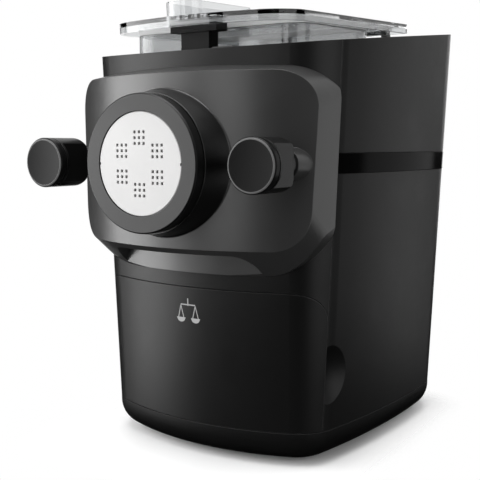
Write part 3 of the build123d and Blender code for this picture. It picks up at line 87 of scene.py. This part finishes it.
# Soft boxes: place, width and height, and power in watts
SOFT_BOXES = {
    "left_box": dict(spot=(-0.655, -0.459, 0.26), size=(0.46, 0.96), power=7.8),
    "front_box": dict(spot=(-0.376, -0.706, 0.34), size=(0.34, 0.70), power=1.9),
    "panel_box": dict(spot=(0.04, -0.85, 0.30), size=(0.34, 0.50), power=1.2),
    "right_box": dict(spot=(0.985, -0.17, 0.25), size=(0.80, 0.90), power=3.4),
    "rear_box": dict(spot=(-0.10, 1.05, 0.30), size=(0.70, 0.80), power=4.0, through_clear=False),
    "top_box": dict(spot=(0.05, -0.22, 1.25), size=(0.90, 0.90), power=15.0),
}

# Nozzle: height of its axis, and radius of the black nose around it
AXIS_Z = sum(corner[2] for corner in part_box("shaping_disc")) / 2
NOSE_R = 0.0530

# Knob caps: a rim round a dish, painted a lighter grey as a painted highlight
CAP_LOW, CAP_HIGH = [Vector(corner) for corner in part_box("right_knob_cap")]
CAP_RIM_WIDTH = 0.0019
CAP_RIM_DEEP = 0.0006       # the rim reaches this far back from the front of the cap
CAP_RIM_R = (CAP_HIGH.x - CAP_LOW.x) / 2 - CAP_RIM_WIDTH
CAP_RIM_BACK = CAP_LOW.y + CAP_RIM_DEEP
KNOB_X = (CAP_LOW.x + CAP_HIGH.x) / 2

# Nut: faces whose outward normal has more than this along +Y are its side
NUT_SIDE = -0.85

# Noise scales of the shared effects, per metre
GRAIN_SCALE = 1400.0        # mould grain
TONE_SCALE = 14.0           # slow change of tone over a piece
MOTTLE_SCALE = 160.0        # change of gloss
RUB_AND_HIGHLIGHT_SCALE = 220.0           # gaps in the rub and in the painted highlight along an edge
SMUDGE_SCALE = 26.0
STREAK_SCALE = 340.0
LATHE_SCALE = 5200.0
LATHE_STRETCH = (0.06, 1.0, 0.06)
METAL_TONE_SCALE = 90.0

# Strengths of the shared effects
EDGE_RADIUS = 0.0006        # softened edge of a moulding
BEVEL_SAMPLES = 6
RUB_AND_HIGHLIGHT_GAIN = 6.0              # raises the small turn of the normal at an edge to a full mask
SMUDGE_START = 0.50         # levels of the noise where a smudge starts and where it is full
SMUDGE_FULL = 0.72
SMUDGE_AMOUNT = 0.10

# Moulded plastic
PLASTIC_TONE = 0.14         # share by which the tone goes down and up
PLASTIC_GLOSS = 0.10        # range of the roughness
PLASTIC_RUB_AND_HIGHLIGHT = 0.50          # most that the rub and the painted highlight change the colour of an edge
PLASTIC_SMUDGE = 0.05
GRAIN_HEIGHT = 0.00012

# Clear plastic
FLOW_SCALE = 60.0
FLOW_STRENGTH = 0.05
FLOW_HEIGHT = 0.0004
CLEAR_TONE = 0.015          # share by which the tone goes down

# Turned metal
METAL_EDGE = 0.0003
METAL_TONE = 0.20           # share by which the tone goes down
METAL_GLOSS = 0.14          # range of the roughness
LATHE_STRENGTH = 0.15
LATHE_HEIGHT = 0.00008

# Print
PRINT_PROUD = 0.00010       # thickness of the print
PRINT_STEP = 0.0020         # longest piece of a stroke, so that the print follows a bent face
PRINT_AIM = 0.05            # the print is thrown on the face from this far in front of it
PRINT_MERGE = 1e-7          # corners closer than this are one

# Balance on the drawer front
SCALE_DROP = 0.0134         # from the top of the drawer front to the beam
SCALE_HALF_BEAM = 0.0066
SCALE_STEM = 0.0048
SCALE_TAIL = 0.0008         # the stem goes this far below the beam
SCALE_STROKE = 0.0009
SCALE_HANG = 0.0100         # from the beam to the pans
SCALE_PAN_HALF = 0.0040
SCALE_PAN_DEEP = 0.0036
SCALE_PAN_SLICES = 8
SCALE_PAN_LIP = 0.02        # least square of the depth, as a share, so that no slice ends in a point
STRING_TOP = 0.0006         # the strings start this far below the beam
STRING_SPREAD = 0.62        # share of the pan's half width
STRING_STROKE = 0.75 * SCALE_STROKE

# Marks on the buttons: the arrow, lines and bars are in shares of the mark's half height
KEY_MARK = 0.0022           # half height
KEY_STROKE = 0.0006
ARROW_BACK = -0.7
LINE_HEIGHTS = (-0.7, 0, 0.7)
BAR_PLACES = ((-0.5, 0.1), (0.6, 1.0))  # middle and top of each bar
BAR_WIDTH = 0.7


# Shared surface effects
def new_group(name, inputs, outputs):
    """Empty shader group with float inputs (name: default) and outputs (name: kind)."""
    tree = bpy.data.node_groups.new(name, "ShaderNodeTree")
    for label, value in inputs.items():
        socket = tree.interface.new_socket(label, in_out="INPUT", socket_type="NodeSocketFloat")
        socket.default_value = value
    for label, kind in outputs.items():
        tree.interface.new_socket(label, in_out="OUTPUT", socket_type="NodeSocket" + kind)
    enter = tree.nodes.new("NodeGroupInput")
    leave = tree.nodes.new("NodeGroupOutput")
    return tree, enter, leave


def add(tree, kind, **settings):
    """Shader node of a kind, with its settings."""
    node = tree.nodes.new("ShaderNode" + kind)
    for key, value in settings.items():
        setattr(node, key, value)
    return node


def math_node(tree, operation, first, second=None, third=None):
    """Math node whose inputs are sockets or plain numbers; gives its output socket."""
    node = add(tree, "Math", operation=operation)
    for socket, value in zip(node.inputs, (first, second, third)):
        if value is None:
            continue
        if isinstance(value, bpy.types.NodeSocket):
            tree.links.new(value, socket)
        else:
            socket.default_value = value
    return node.outputs[0]


def place_on_piece(tree):
    """Place of a point in the piece's own axes."""
    return add(tree, "TexCoord").outputs["Object"]


def noise(tree, vector, scale, detail):
    """Noise whose scale is a socket or a plain number; gives its output socket."""
    node = add(tree, "TexNoise")
    node.inputs["Detail"].default_value = detail
    if isinstance(scale, bpy.types.NodeSocket):
        tree.links.new(scale, node.inputs["Scale"])
    else:
        node.inputs["Scale"].default_value = scale
    tree.links.new(vector, node.inputs["Vector"])
    return node.outputs[0]


def moulded_grain():
    """Spark-eroded mould texture: a fine height, a slow change of tone and a change of gloss."""
    tree, enter, leave = new_group(
        "moulded_grain", {"Scale": GRAIN_SCALE}, {"Height": "Float", "Tone": "Float", "Gloss": "Float"})
    place = place_on_piece(tree)
    fine = noise(tree, place, enter.outputs["Scale"], detail=3.0)
    slow = noise(tree, place, TONE_SCALE, detail=4.0)
    mottle = noise(tree, place, MOTTLE_SCALE, detail=3.0)
    half_fine = math_node(tree, "MULTIPLY", fine, 0.5)
    tree.links.new(fine, leave.inputs["Height"])
    tree.links.new(slow, leave.inputs["Tone"])
    tree.links.new(math_node(tree, "MULTIPLY_ADD", mottle, 0.5, half_fine), leave.inputs["Gloss"])
    return tree


def soft_edges():
    """Rounded look of a moulded edge, and a mask of the edges for rub and for a painted highlight."""
    tree, enter, leave = new_group(
        "soft_edges", {"Radius": EDGE_RADIUS}, {"Normal": "Vector", "Rub": "Float"})
    bevel = add(tree, "Bevel", samples=BEVEL_SAMPLES)
    tree.links.new(enter.outputs["Radius"], bevel.inputs["Radius"])
    flat = add(tree, "NewGeometry").outputs["Normal"]
    dot = add(tree, "VectorMath", operation="DOT_PRODUCT")
    tree.links.new(bevel.outputs[0], dot.inputs[0])
    tree.links.new(flat, dot.inputs[1])
    away = math_node(tree, "SUBTRACT", 1.0, dot.outputs["Value"])
    patchy = noise(tree, place_on_piece(tree), RUB_AND_HIGHLIGHT_SCALE, detail=4.0)
    rub = math_node(tree, "MULTIPLY", away, math_node(tree, "MULTIPLY", patchy, RUB_AND_HIGHLIGHT_GAIN))
    tree.links.new(bevel.outputs[0], leave.inputs["Normal"])
    tree.links.new(math_node(tree, "MINIMUM", rub, 1.0), leave.inputs["Rub"])
    return tree


def handling_smudges():
    """Faint finger marks: large soft patches broken up by streaks."""
    tree, enter, leave = new_group("handling_smudges", {"Amount": SMUDGE_AMOUNT}, {"Smudge": "Float"})
    place = place_on_piece(tree)
    large = noise(tree, place, SMUDGE_SCALE, detail=2.0)
    streak = noise(tree, place, STREAK_SCALE, detail=5.0)
    patch = add(tree, "MapRange", interpolation_type="SMOOTHSTEP")
    patch.inputs["From Min"].default_value = SMUDGE_START
    patch.inputs["From Max"].default_value = SMUDGE_FULL
    tree.links.new(large, patch.inputs["Value"])
    mixed = math_node(tree, "MULTIPLY", patch.outputs[0], streak)
    tree.links.new(math_node(tree, "MULTIPLY", mixed, enter.outputs["Amount"]), leave.inputs["Smudge"])
    return tree


def turning_lines():
    """Fine rings left by a lathe about an axis along Y."""
    tree, enter, leave = new_group(
        "turning_lines", {"Pitch": LATHE_SCALE}, {"Height": "Float", "Tone": "Float"})
    place = place_on_piece(tree)
    stretch = add(tree, "Mapping")
    stretch.inputs["Scale"].default_value = LATHE_STRETCH
    tree.links.new(place, stretch.inputs["Vector"])
    rings = noise(tree, stretch.outputs[0], enter.outputs["Pitch"], detail=2.0)
    slow = noise(tree, place, METAL_TONE_SCALE, detail=3.0)
    tree.links.new(rings, leave.inputs["Height"])
    tree.links.new(slow, leave.inputs["Tone"])
    return tree


GROUPS = {make.__name__: make() for make in (moulded_grain, soft_edges, handling_smudges, turning_lines)}


# Materials
def new_material(name):
    """Empty material with its shader."""
    material = bpy.data.materials.new(name)
    material.use_nodes = True
    tree = material.node_tree
    tree.nodes.clear()
    shader = add(tree, "BsdfPrincipled")
    result = add(tree, "OutputMaterial")
    tree.links.new(shader.outputs[0], result.inputs[0])
    return material, tree, shader


def place_group(tree, name, **values):
    """One of the shared effects in a material, with its own values."""
    node = add(tree, "Group", node_tree=GROUPS[name])
    for label, value in values.items():
        node.inputs[label].default_value = value
    return node


def grey(level, warm=0.0):
    """Grey of a level, tinted by a share."""
    return (level * (1 + warm), level, level * (1 - warm))


def shade(colour, share):
    """Colour made darker or lighter."""
    return [channel * share for channel in colour]


def mix_colours(tree, factor, first, second):
    """Mix of two colours, each a socket or three numbers."""
    node = add(tree, "Mix", data_type="RGBA")
    tree.links.new(factor, node.inputs["Factor"])
    for label, colour in (("A", first), ("B", second)):
        if isinstance(colour, bpy.types.NodeSocket):
            tree.links.new(colour, node.inputs[label])
        else:
            node.inputs[label].default_value = (*colour, 1.0)
    return node.outputs["Result"]


def bumped(tree, shader, height, strength, distance, normal=None):
    """Gives a shader the relief of a height, on top of softened edges where there are some."""
    node = add(tree, "Bump")
    node.inputs["Strength"].default_value = strength
    node.inputs["Distance"].default_value = distance
    tree.links.new(height, node.inputs["Height"])
    if normal is not None:
        tree.links.new(normal, node.inputs["Normal"])
    tree.links.new(node.outputs[0], shader.inputs["Normal"])


def split(tree, vector):
    """X, Y and Z of a vector, by name."""
    parts = add(tree, "SeparateXYZ")
    tree.links.new(vector, parts.inputs[0])
    return parts.outputs


def length_of(tree, first, second):
    """Length of two distances square to each other."""
    squares = [math_node(tree, "MULTIPLY", distance, distance) for distance in (first, second)]
    return math_node(tree, "SQRT", math_node(tree, "ADD", *squares))


def nose_zone(tree):
    """Mask of the nose: the part of the panel close to the nozzle's axis."""
    place = split(tree, place_on_piece(tree))
    above = math_node(tree, "SUBTRACT", place["Z"], AXIS_Z)
    return math_node(tree, "LESS_THAN", length_of(tree, place["X"], above), NOSE_R)


def cap_rim_painted_highlight(tree):
    """Mask of the rim round the dish of a knob cap, which is painted lighter as a painted highlight, the same
    on both sides of the machine.
    """
    place = split(tree, place_on_piece(tree))
    across = math_node(tree, "SUBTRACT", math_node(tree, "ABSOLUTE", place["X"]), KNOB_X)
    above = math_node(tree, "SUBTRACT", place["Z"], AXIS_Z)
    outside = math_node(tree, "GREATER_THAN", length_of(tree, across, above), CAP_RIM_R)
    front = math_node(tree, "LESS_THAN", place["Y"], CAP_RIM_BACK)
    return math_node(tree, "MULTIPLY", outside, front)


def nut_side_zone(tree):
    """Mask of the faces of the nut that don't look forwards."""
    normal = split(tree, add(tree, "TexCoord").outputs["Normal"])
    return math_node(tree, "GREATER_THAN", normal["Y"], NUT_SIDE)


def moulded_plastic(
        name, colour, roughness, grain=GRAIN_SCALE, depth=0.25, edge=EDGE_RADIUS, rub=0.02, specular=0.25,
        zone=None, zone_colour=None):
    """Injection-moulded plastic: mould grain, soft edges shifted lighter or darker as rub, and lighter as a
    painted highlight on the black body and base, faint smudges.
    """
    material, tree, shader = new_material(name)
    skin = place_group(tree, "moulded_grain", Scale=grain)
    edges = place_group(tree, "soft_edges", Radius=edge)
    smudge = place_group(tree, "handling_smudges", Amount=PLASTIC_SMUDGE)
    tone = mix_colours(
        tree, skin.outputs["Tone"], shade(colour, 1 - PLASTIC_TONE), shade(colour, 1 + PLASTIC_TONE))
    if zone is not None:
        tone = mix_colours(tree, zone(tree), tone, zone_colour)
    # edge colour shift: rub, and on the black body and base a painted highlight
    rub_and_highlight_share = math_node(tree, "MULTIPLY", edges.outputs["Rub"], PLASTIC_RUB_AND_HIGHLIGHT)
    tone_with_rub_and_highlight = mix_colours(tree, rub_and_highlight_share, tone, [channel + rub for channel in colour])
    tree.links.new(tone_with_rub_and_highlight, shader.inputs["Base Color"])
    matte = math_node(
        tree, "MULTIPLY_ADD", skin.outputs["Gloss"], PLASTIC_GLOSS, roughness - PLASTIC_GLOSS / 2)
    matte = math_node(tree, "SUBTRACT", matte, smudge.outputs["Smudge"])
    tree.links.new(matte, shader.inputs["Roughness"])
    bumped(tree, shader, skin.outputs["Height"], depth, GRAIN_HEIGHT, edges.outputs["Normal"])
    shader.inputs["Specular IOR Level"].default_value = specular
    return material


def clear_plastic(name, colour, roughness, ior):
    """Clear moulded plastic with faint flow waves and smudges."""
    material, tree, shader = new_material(name)
    skin = place_group(tree, "moulded_grain", Scale=FLOW_SCALE)
    smudge = place_group(tree, "handling_smudges", Amount=SMUDGE_AMOUNT)
    tone = mix_colours(tree, skin.outputs["Tone"], shade(colour, 1 - CLEAR_TONE), colour)
    tree.links.new(tone, shader.inputs["Base Color"])
    matte = math_node(tree, "ADD", smudge.outputs["Smudge"], roughness)
    tree.links.new(matte, shader.inputs["Roughness"])
    shader.inputs["Transmission Weight"].default_value = 1.0
    shader.inputs["IOR"].default_value = ior
    bumped(tree, shader, skin.outputs["Tone"], FLOW_STRENGTH, FLOW_HEIGHT)
    return material


def turned_metal(name, colour, roughness):
    """Machined metal with lathe lines."""
    material, tree, shader = new_material(name)
    lines = place_group(tree, "turning_lines")
    edges = place_group(tree, "soft_edges", Radius=METAL_EDGE)
    tone = mix_colours(tree, lines.outputs["Tone"], shade(colour, 1 - METAL_TONE), colour)
    tree.links.new(tone, shader.inputs["Base Color"])
    matte = math_node(tree, "MULTIPLY_ADD", lines.outputs["Height"], METAL_GLOSS, roughness - METAL_GLOSS / 2)
    tree.links.new(matte, shader.inputs["Roughness"])
    shader.inputs["Metallic"].default_value = 1.0
    bumped(tree, shader, lines.outputs["Height"], LATHE_STRENGTH, LATHE_HEIGHT, edges.outputs["Normal"])
    return material


# Finishes, one for each material slot of the record
MOULDED_FINISHES = {
    # on the black body and base the edges and seams are lightened: a painted highlight
    "body_black": dict(colour=grey(0.0030), roughness=0.40, edge=0.0008, rub=0.08, specular=0.24),
    "base_black": dict(colour=grey(0.0030), roughness=0.50, edge=0.0008, rub=0.08, specular=0.13),
    "panel_black": dict(
        colour=grey(0.021), roughness=0.33, specular=0.60, zone=nose_zone, zone_colour=grey(0.0015)),
    "gloss_black": dict(colour=grey(0.0015), roughness=0.12, grain=300.0, depth=0.02, specular=0.03),
    "display_glass": dict(colour=(0.004, 0.005, 0.007), roughness=0.05, grain=200.0, depth=0.01),
    "nut_grey": dict(colour=grey(0.036), roughness=0.42, zone=nut_side_zone, zone_colour=grey(0.0025)),
    "disc_white": dict(colour=grey(0.465, warm=0.004), roughness=0.38, depth=0.1, rub=-0.2),
    "knob_black": dict(colour=grey(0.0025), roughness=0.34),
    # the knob caps' rim is painted a lighter grey: a painted highlight
    "knob_cap_black": dict(
        colour=grey(0.004), roughness=0.30, edge=0.0010, specular=0.08, zone=cap_rim_painted_highlight,
        zone_colour=grey(0.10)),
    "latch_black": dict(colour=grey(0.0030), roughness=0.36, specular=0.08),
    "inner_grey": dict(colour=grey(0.045), roughness=0.46),
    "dough_white": dict(colour=grey(0.78, warm=0.012), roughness=0.42, rub=-0.15),
    "rubber": dict(colour=grey(0.020), roughness=0.72, grain=900.0, depth=0.4),
    "silicone": dict(colour=grey(0.55), roughness=0.55, rub=-0.1),
    "board_green": dict(colour=(0.012, 0.095, 0.038), roughness=0.34, grain=500.0),
    "capacitor_sleeve": dict(colour=(0.30, 0.34, 0.38), roughness=0.26, grain=260.0, depth=0.05),
}
CLEAR_FINISHES = {
    "clear_plastic": dict(colour=(0.73, 0.74, 0.745), roughness=0.02, ior=1.49),
    "chamber_clear": dict(colour=(0.46, 0.47, 0.475), roughness=0.03, ior=1.52),
}
METAL_FINISHES = {
    "steel": dict(colour=(0.62, 0.62, 0.63), roughness=0.28),
    "aluminium": dict(colour=(0.66, 0.67, 0.69), roughness=0.42),
    "brass": dict(colour=(0.72, 0.53, 0.23), roughness=0.30),
}
PRINT_FINISH = dict(colour=grey(0.30), roughness=0.5, grain=2600.0, edge=0.00005, rub=-0.1)


def make_materials():
    """All finishes, by material slot."""
    kinds = (
        (moulded_plastic, MOULDED_FINISHES), (clear_plastic, CLEAR_FINISHES), (turned_metal, METAL_FINISHES))
    return {slot: make(slot, **finish) for make, finishes in kinds for slot, finish in finishes.items()}


def dress_nodes():
    """Gives each solid the finish of its material slot."""
    materials = make_materials()
    for name, piece in NODES.items():
        piece.data.materials.clear()
        piece.data.materials.append(materials[SLOT_OF[name]])


# Printed marks
def stroke(start, end, width):
    """Four-sided pieces of a straight stroke, short enough to follow a bent face."""
    start, end = Vector(start), Vector(end)
    along = end - start
    side = Vector((-along.y, along.x)).normalized() * width / 2
    count = max(1, math.ceil(along.length / PRINT_STEP))
    spots = [start + along * k / count for k in range(count + 1)]
    return [(a - side, b - side, b + side, a + side) for a, b in zip(spots, spots[1:])]


def pan(x, top):
    """Round-bottomed pan of the balance, in upright slices."""
    half, count = SCALE_PAN_HALF, SCALE_PAN_SLICES
    edges = [-half + 2 * half * k / count for k in range(count + 1)]
    depths = [SCALE_PAN_DEEP * math.sqrt(max(SCALE_PAN_LIP, 1 - (edge / half) ** 2)) for edge in edges]
    floor = [top - depth for depth in depths]
    return [
        ((x + a, floor_a), (x + b, floor_b), (x + b, top), (x + a, top))
        for a, b, floor_a, floor_b in zip(edges, edges[1:], floor, floor[1:])]


def balance_mark():
    """Balance with two pans, about the middle of its beam."""
    beam, hang, spread = SCALE_HALF_BEAM, SCALE_HANG, SCALE_PAN_HALF * STRING_SPREAD
    shapes = stroke((0, -SCALE_TAIL), (0, SCALE_STEM), SCALE_STROKE)
    shapes += stroke((-beam, 0), (beam, 0), SCALE_STROKE)
    for x in (-beam, beam):
        for foot in (x - spread, x + spread):
            shapes += stroke((x, -STRING_TOP), (foot, -hang), STRING_STROKE)
        shapes += pan(x, -hang)
    return shapes


def start_mark():
    """Arrow."""
    k = KEY_MARK
    return [((ARROW_BACK * k, -k), (k, 0), (ARROW_BACK * k, k))]


def program_mark():
    """Three lines."""
    k = KEY_MARK
    return [piece for v in LINE_HEIGHTS for piece in stroke((-k, v * k), (k, v * k), KEY_STROKE)]


def portion_mark():
    """A short and a tall bar."""
    k = KEY_MARK
    return [
        piece for x, top in BAR_PLACES for piece in stroke((x * k, -k), (x * k, top * k), BAR_WIDTH * k)]


def print_on(name, node, body, shapes, centre, across, up, material):
    """Lays flat shapes on the face of a node, seen along the direction square to across and up."""
    piece = NODES[node]
    look = -across.cross(up)
    mesh = bmesh.new()
    for shape in shapes:
        corners = []
        for u, v in shape:
            start = centre + across * u + up * v - look * PRINT_AIM
            hit, place, normal, _ = piece.ray_cast(start, look)
            if not hit:
                raise ValueError(f"{name} misses {node}")
            corners.append((place, normal))
        low = [mesh.verts.new(place) for place, normal in corners]
        high = [mesh.verts.new(place + normal * PRINT_PROUD) for place, normal in corners]
        mesh.faces.new(high)
        for k in range(len(low)):
            after = (k + 1) % len(low)
            mesh.faces.new((low[k], low[after], high[after], high[k]))
    bmesh.ops.remove_doubles(mesh, verts=mesh.verts, dist=PRINT_MERGE)
    bmesh.ops.recalc_face_normals(mesh, faces=mesh.faces)
    data = bpy.data.meshes.new(name)
    mesh.to_mesh(data)
    mesh.free()
    data.materials.append(material)
    mark = bpy.data.objects.new(name, data)
    bpy.context.scene.collection.objects.link(mark)
    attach(mark, body)


def make_marks():
    """The balance on the drawer front and a mark on each button."""
    ink = moulded_plastic("print_grey", **PRINT_FINISH)
    right, rearward, upward = Vector((1, 0, 0)), Vector((0, 1, 0)), Vector((0, 0, 1))
    low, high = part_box("drawer_front")
    centre = Vector((0.0, low[1], high[2] - SCALE_DROP))
    print_on("balance_mark", "drawer_front", "drawer", balance_mark(), centre, right, upward, ink)
    marks = {"start_button": start_mark, "program_button": program_mark, "portion_button": portion_mark}
    for node, shapes in marks.items():
        low, high = [Vector(corner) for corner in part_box(node)]
        centre = (low + high) / 2
        centre.z = high.z
        print_on(node + "_mark", node, node, shapes(), centre, right, rearward, ink)


# Studio
def make_camera():
    """Camera at the photograph's viewing angle."""
    lens = bpy.data.cameras.new("camera")
    lens.lens = CAMERA_LENS
    lens.sensor_width = CAMERA_SENSOR
    camera = bpy.data.objects.new("camera", lens)
    across = Vector((math.cos(CAMERA_AZIMUTH), math.sin(CAMERA_AZIMUTH), 0.0))
    back = Vector((
        math.sin(CAMERA_AZIMUTH) * math.cos(CAMERA_PITCH),
        -math.cos(CAMERA_AZIMUTH) * math.cos(CAMERA_PITCH),
        math.sin(CAMERA_PITCH)))
    turn = Matrix((across, back.cross(across), back)).transposed().to_4x4()
    camera.matrix_world = Matrix.Translation(CAMERA_SPOT) @ turn
    bpy.context.scene.collection.objects.link(camera)
    bpy.context.scene.camera = camera


def make_world():
    """White room: full white where it is seen, mirrored or looked at through glass, dimmer as light."""
    world = bpy.data.worlds.new("white_room")
    world.use_nodes = True
    tree = world.node_tree
    tree.nodes.clear()
    path = add(tree, "LightPath")
    seen = math_node(tree, "MAXIMUM", path.outputs["Is Camera Ray"], path.outputs["Is Glossy Ray"])
    seen = math_node(tree, "MAXIMUM", seen, path.outputs["Is Transmission Ray"])
    level = math_node(tree, "MULTIPLY_ADD", seen, 1.0 - FILL_LIGHT, FILL_LIGHT)
    room = add(tree, "Background")
    result = add(tree, "OutputWorld")
    tree.links.new(level, room.inputs["Strength"])
    tree.links.new(room.outputs[0], result.inputs[0])
    room.inputs["Color"].default_value = (1.0, 1.0, 1.0, 1.0)
    bpy.context.scene.world = world


def dull_material(name, level, roughness):
    """Grey without any shine, for the floor and the cards."""
    material, tree, shader = new_material(name)
    shader.inputs["Base Color"].default_value = (*grey(level), 1.0)
    shader.inputs["Roughness"].default_value = roughness
    shader.inputs["Specular IOR Level"].default_value = 0.0
    return material, tree, shader


def mesh_object(name, vertices, faces, material):
    """Object of its own mesh, in the scene."""
    mesh = bpy.data.meshes.new(name)
    mesh.from_pydata(vertices, [], faces)
    mesh.materials.append(material)
    piece = bpy.data.objects.new(name, mesh)
    bpy.context.scene.collection.objects.link(piece)
    return piece


def make_floor():
    """White table top that fades into the white room a little way from the machine."""
    material, tree, shader = dull_material("floor_white", FLOOR_WHITE, FLOOR_ROUGHNESS)
    place = split(tree, place_on_piece(tree))
    beyond = []
    for axis, half in zip("XY", FLOOR_HALF):
        outside = math_node(tree, "SUBTRACT", math_node(tree, "ABSOLUTE", place[axis]), half)
        beyond.append(math_node(tree, "MAXIMUM", outside, 0.0))
    fade = add(tree, "MapRange", interpolation_type="SMOOTHSTEP")
    fade.inputs["From Max"].default_value = FLOOR_FADE
    fade.inputs["To Min"].default_value = 1.0
    fade.inputs["To Max"].default_value = 0.0
    tree.links.new(length_of(tree, *beyond), fade.inputs["Value"])
    tree.links.new(fade.outputs[0], shader.inputs["Alpha"])
    reach_x, reach_y = [half + FLOOR_REACH for half in FLOOR_HALF]
    corners = [(sx * reach_x, sy * reach_y, 0.0) for sx, sy in ((-1, -1), (1, -1), (1, 1), (-1, 1))]
    floor = mesh_object("floor", corners, [(0, 1, 2, 3)], material)
    floor.visible_glossy = False


def make_cards(name, gaps, top, seen_by):
    """Ring and floor of black card. Only one kind of ray meets it, so it lights nothing."""
    material, _, _ = dull_material(name + "_black", CARD_BLACK, roughness=1.0)
    vertices, faces = [], []
    for k in range(CARD_STEPS):
        azimuths = [360.0 * (k + step) / CARD_STEPS - 180.0 for step in (0, 1)]
        in_gap = any(low < sum(azimuths) / 2 < high for low, high in gaps)
        first = len(vertices)
        for azimuth in azimuths:
            x = CARD_R * math.sin(math.radians(azimuth))
            y = -CARD_R * math.cos(math.radians(azimuth))
            vertices += [(x, y, CARD_BOTTOM), (x, y, GAP_FOOT if in_gap else top)]
        vertices.append((0.0, 0.0, CARD_BOTTOM))
        faces.append((first, first + 2, first + 4))
        faces.append((first, first + 2, first + 3, first + 1))
    cards = mesh_object(name, vertices, faces, material)
    for kind in ("camera", "diffuse", "glossy", "transmission", "shadow"):
        setattr(cards, "visible_" + kind, kind == seen_by)


def make_soft_box(name, target, spot, size, power, through_clear=True):
    """Area light aimed at a target. The clear plastic shows it only where that is wanted."""
    lamp = bpy.data.lights.new(name, "AREA")
    lamp.shape = "RECTANGLE"
    lamp.size, lamp.size_y = size
    lamp.energy = power
    light = bpy.data.objects.new(name, lamp)
    aim = Vector(target) - Vector(spot)
    light.matrix_world = Matrix.Translation(spot) @ aim.to_track_quat("-Z", "Y").to_matrix().to_4x4()
    light.visible_transmission = through_clear
    bpy.context.scene.collection.objects.link(light)


def make_studio():
    """Camera, white room, floor, black cards and soft boxes."""
    make_camera()
    make_world()
    make_floor()
    make_cards("mirror_cards", MIRROR_GAPS, MIRROR_TOP, "glossy")
    make_cards("clear_cards", CLEAR_GAPS, CLEAR_TOP, "transmission")
    low, high = SOLID_BOX
    for name, soft_box in SOFT_BOXES.items():
        make_soft_box(name, (low + high) / 2, **soft_box)
    bpy.context.scene.view_settings.view_transform = "Standard"


dress_nodes()
make_marks()
make_studio()
